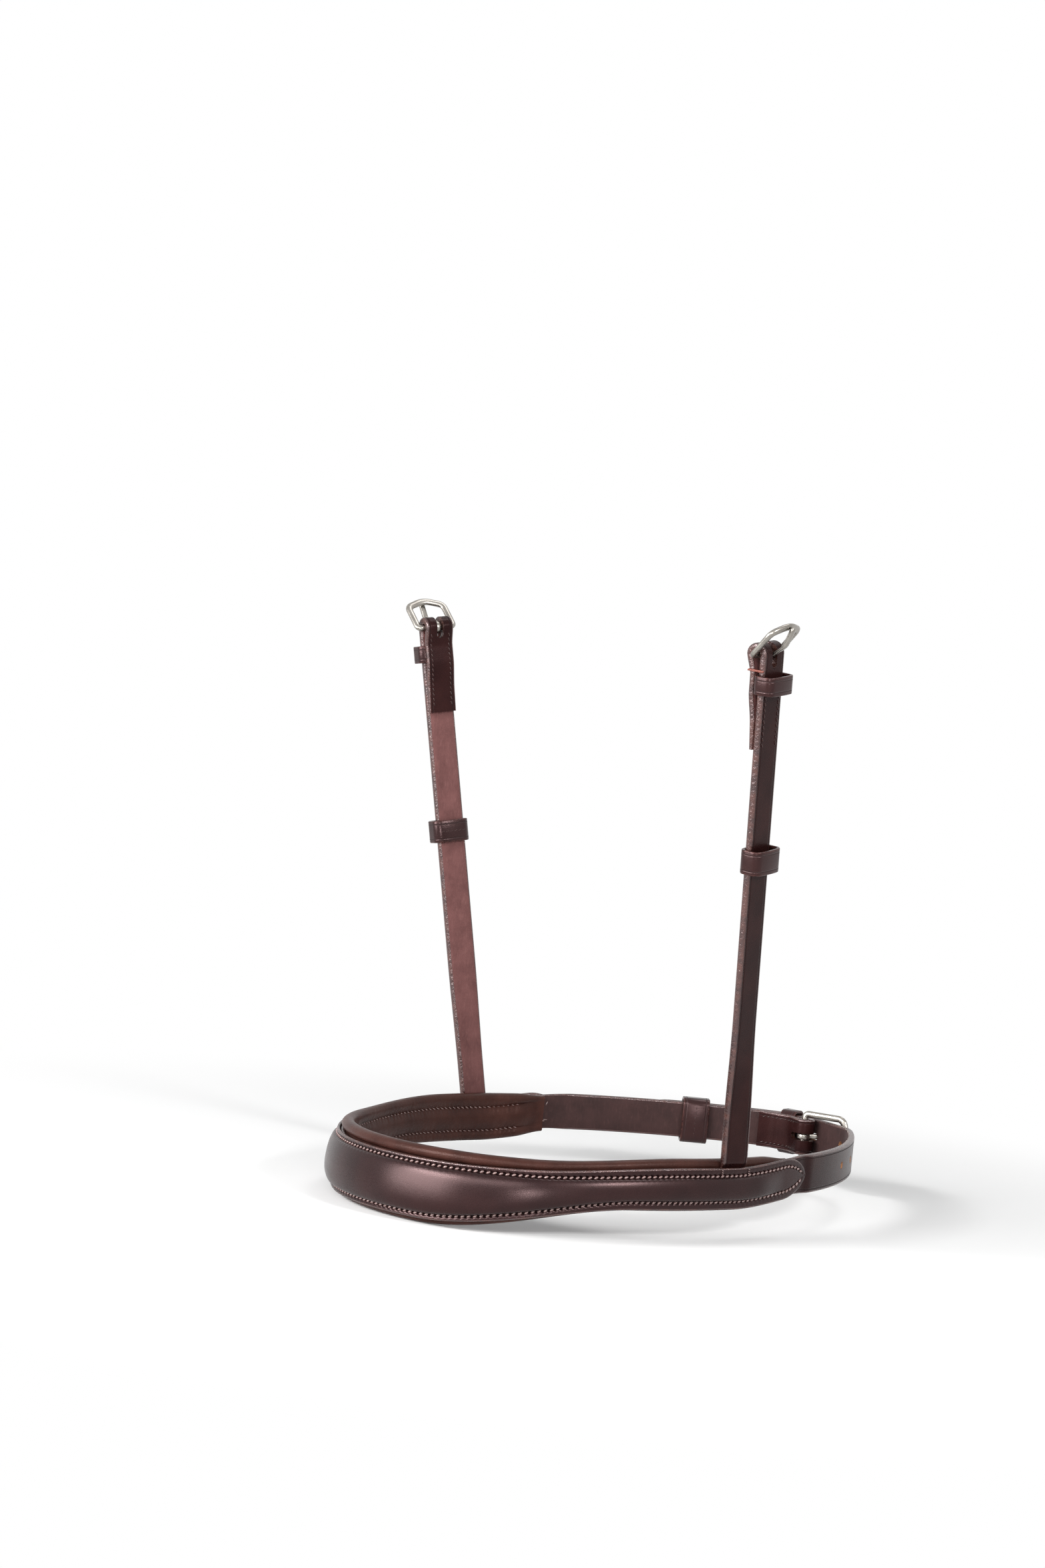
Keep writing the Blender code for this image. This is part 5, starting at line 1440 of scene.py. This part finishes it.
for name, side in SIDES:
    rows = chape_rows(lambda along: cheek_frame_at(side, CHEEK_LENGTH + along), CHEEK_WIDTH, CHEEK_CHAPE)
    stitched(f"{name}_chape_stitches", f"{name}_cheek", rows, DARK_THREAD, **SMALL)
rows = chape_rows(lambda along: jaw_frame_at(BAR_RUN + along), JAW_WIDTH, JAW_CHAPE)
stitched("jaw_chape_stitches", "ring", rows, DARK_THREAD, **SMALL)


def join_row(matrix, half, half_width):
    """The ends of a keeper meet behind the strap, where a few stitches hold them."""
    out = -STRAP_WALL / 2 - FIT - RUNNER_WALL + 0.05 * MM
    places = [Vector((x, 0, out - keeper_bulge(x, half_width))) for x in runs_between(-half, half, 2 * MM)]
    return [(matrix @ place, matrix.to_3x3() @ -Z_AXIS) for place in places]


for name, side in SIDES:
    row = join_row(cheek_frame_at(side, RUNNER_HEIGHTS[side]), CHEEK_WIDTH / 2 - 1.5 * MM, CHEEK_WIDTH / 2 + PLAY)
    stitched(f"{name}_runner_stitches", f"{name}_runner", [row], DARK_THREAD, **FINE)
at = jaw_frame_at(BAR_RUN - JAW_RUNNER_PAST_BAR)
row = join_row(at, JAW_WIDTH / 2 - 2 * MM, JAW_WIDTH / 2 + JAW_RUNNER_PLAY)
stitched("jaw_runner_stitches", "jaw_runner", [row], DARK_THREAD, **FINE)


def loose_row():
    """One thick thread lies over the near strap's edge, above its fixed keeper."""
    top, edge = CHEEK_LENGTH - FIXED_BELOW_BAR + FIXED_LENGTH / 2 + 1.7 * MM, CHEEK_WIDTH / 2 + 0.25 * MM
    fold = fold_frame(NEAR)
    return [(fold @ Vector((-edge, top, out * MM)), fold.to_3x3() @ -X_AXIS) for out in (-5.6, -2.6, 0.9)]


def tack_row(run):
    """A short row across the rim, beside a cheek strap."""
    heights = [middle(run) + height for height in (half_height(run) - 0.9 * MM, outer_lines(run)[1] + 0.7 * MM)]
    return [(on_band(run, OUTER_IN + OUTER_WALL + 0.05 * MM, height), plan(NEAR, run)[1]) for height in heights]


stitched("near_loose_thread", "near_cheek", [loose_row()], RED_THREAD, **LOOSE)
runs = [side * (CHEEK_RUN + ahead * (CHEEK_WIDTH / 2 + 0.6 * MM)) for _, side in SIDES for ahead in (-1, 1)]
stitched("tack_stitches", "ring", [tack_row(run) for run in runs], **TACK)

# %% [markdown]
# The set is a pale floor in front of a pale backdrop, under big soft lamps. The floor and the world
# look white to the camera and in the gloss of the steel, and the lamps light the object at a plain
# level. One small lamp beside the camera gives the fronts of the keepers their shine.

# %% Floor, light and backdrop
FLOOR_SIZE, SHADOW_END, WHITE_START = 8.0, 0.15, 0.42


def add_floor():
    """Pale and matt round the object, so that it keeps the shadow, and plain white further out."""
    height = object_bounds()[0][2] - 0.2 * MM
    mesh = bpy.data.meshes.new("floor")
    corners = [(x * FLOOR_SIZE, y * FLOOR_SIZE, height) for x, y in ((-1, -1), (1, -1), (1, 1), (-1, 1))]
    mesh.from_pydata(corners, [], [(0, 1, 2, 3)])
    nodes = Nodes("pale_floor", (0.92, 0.92, 0.915), 0.9, Specular_IOR_Level=0.2)
    dust = nodes.noise(0.3, 2)
    nodes.set("Base Color", nodes.mix(dust, (0.915, 0.915, 0.91), (0.93, 0.93, 0.925)))
    place = nodes.add("ShaderNodeTexCoord")["Object"]
    far = nodes.add("ShaderNodeVectorMath", {"operation": "LENGTH"}, {0: place})["Value"]
    far = far.between(SHADOW_END, WHITE_START)
    path = nodes.add("ShaderNodeLightPath")
    seen = path["Is Camera Ray"].most(path["Is Glossy Ray"]).most(path["Is Transmission Ray"])
    white = nodes.add("ShaderNodeEmission", {}, {"Color": (1, 1, 1), "Strength": 1.0})["Emission"]
    out = nodes.tree.nodes["Material Output"].inputs["Surface"]
    mixed = nodes.add("ShaderNodeMixShader", {}, {0: far * seen, 1: nodes.shader.outputs["BSDF"], 2: white})["Shader"]
    nodes.tree.links.new(mixed, out)
    mesh.materials.append(nodes.material)
    add_object("floor", mesh)


def add_lamp(name, place, target, size, power):
    light = bpy.data.lights.new(name, "AREA")
    light.shape, light.size, light.size_y, light.energy = "RECTANGLE", size[0], size[1], power
    lamp = add_object(name, light)
    lamp.location = place
    lamp.rotation_euler = (Vector(target) - Vector(place)).to_track_quat("-Z", "Y").to_euler()


def add_world():
    world = bpy.data.worlds.new("studio")
    bpy.context.scene.world = world
    world.use_nodes = True
    tree = world.node_tree
    for node in list(tree.nodes):
        tree.nodes.remove(node)
    path = add_node(tree, "ShaderNodeLightPath").outputs
    seen = path["Is Camera Ray"]
    for name in ("Is Glossy Ray", "Is Transmission Ray"):
        seen = add_node(tree, "ShaderNodeMath", {"operation": "MAXIMUM"}, {0: path[name], 1: seen}).outputs["Value"]
    soft = add_node(tree, "ShaderNodeBackground", {}, {"Color": (0.97, 0.98, 1.0), "Strength": 0.2})
    white = add_node(tree, "ShaderNodeBackground", {}, {"Color": (1, 1, 1), "Strength": 1.0})
    given = {0: seen, 1: soft.outputs["Background"], 2: white.outputs["Background"]}
    mix = add_node(tree, "ShaderNodeMixShader", {}, given)
    add_node(tree, "ShaderNodeOutputWorld", {}, {"Surface": mix.outputs["Shader"]})


add_floor()
add_world()
add_lamp("left", (-0.16, -1.33, 0.30), (0, -0.06, 0.02), (0.9, 0.56), 17)
add_lamp("key", (-0.05, -1.28, 0.66), (0, -0.06, 0.02), (0.7, 0.12), 14)
add_lamp("strip", (0.75, -1.05, 0.62), (0, -0.05, 0.02), (0.9, 0.3), 6)
add_lamp("right", (1.26, 0.05, 0.70), (0, -0.03, 0.03), (0.3, 0.2), 9)
add_lamp("top", (0.0, 0.5, 1.45), (0, 0, 0.1), (0.5, 0.5), 3)
add_lamp("front", (1.34, -0.84, 0.17), (0, 0, 0.02), (0.34, 0.2), 5)
bpy.context.scene.view_settings.view_transform = "Standard"
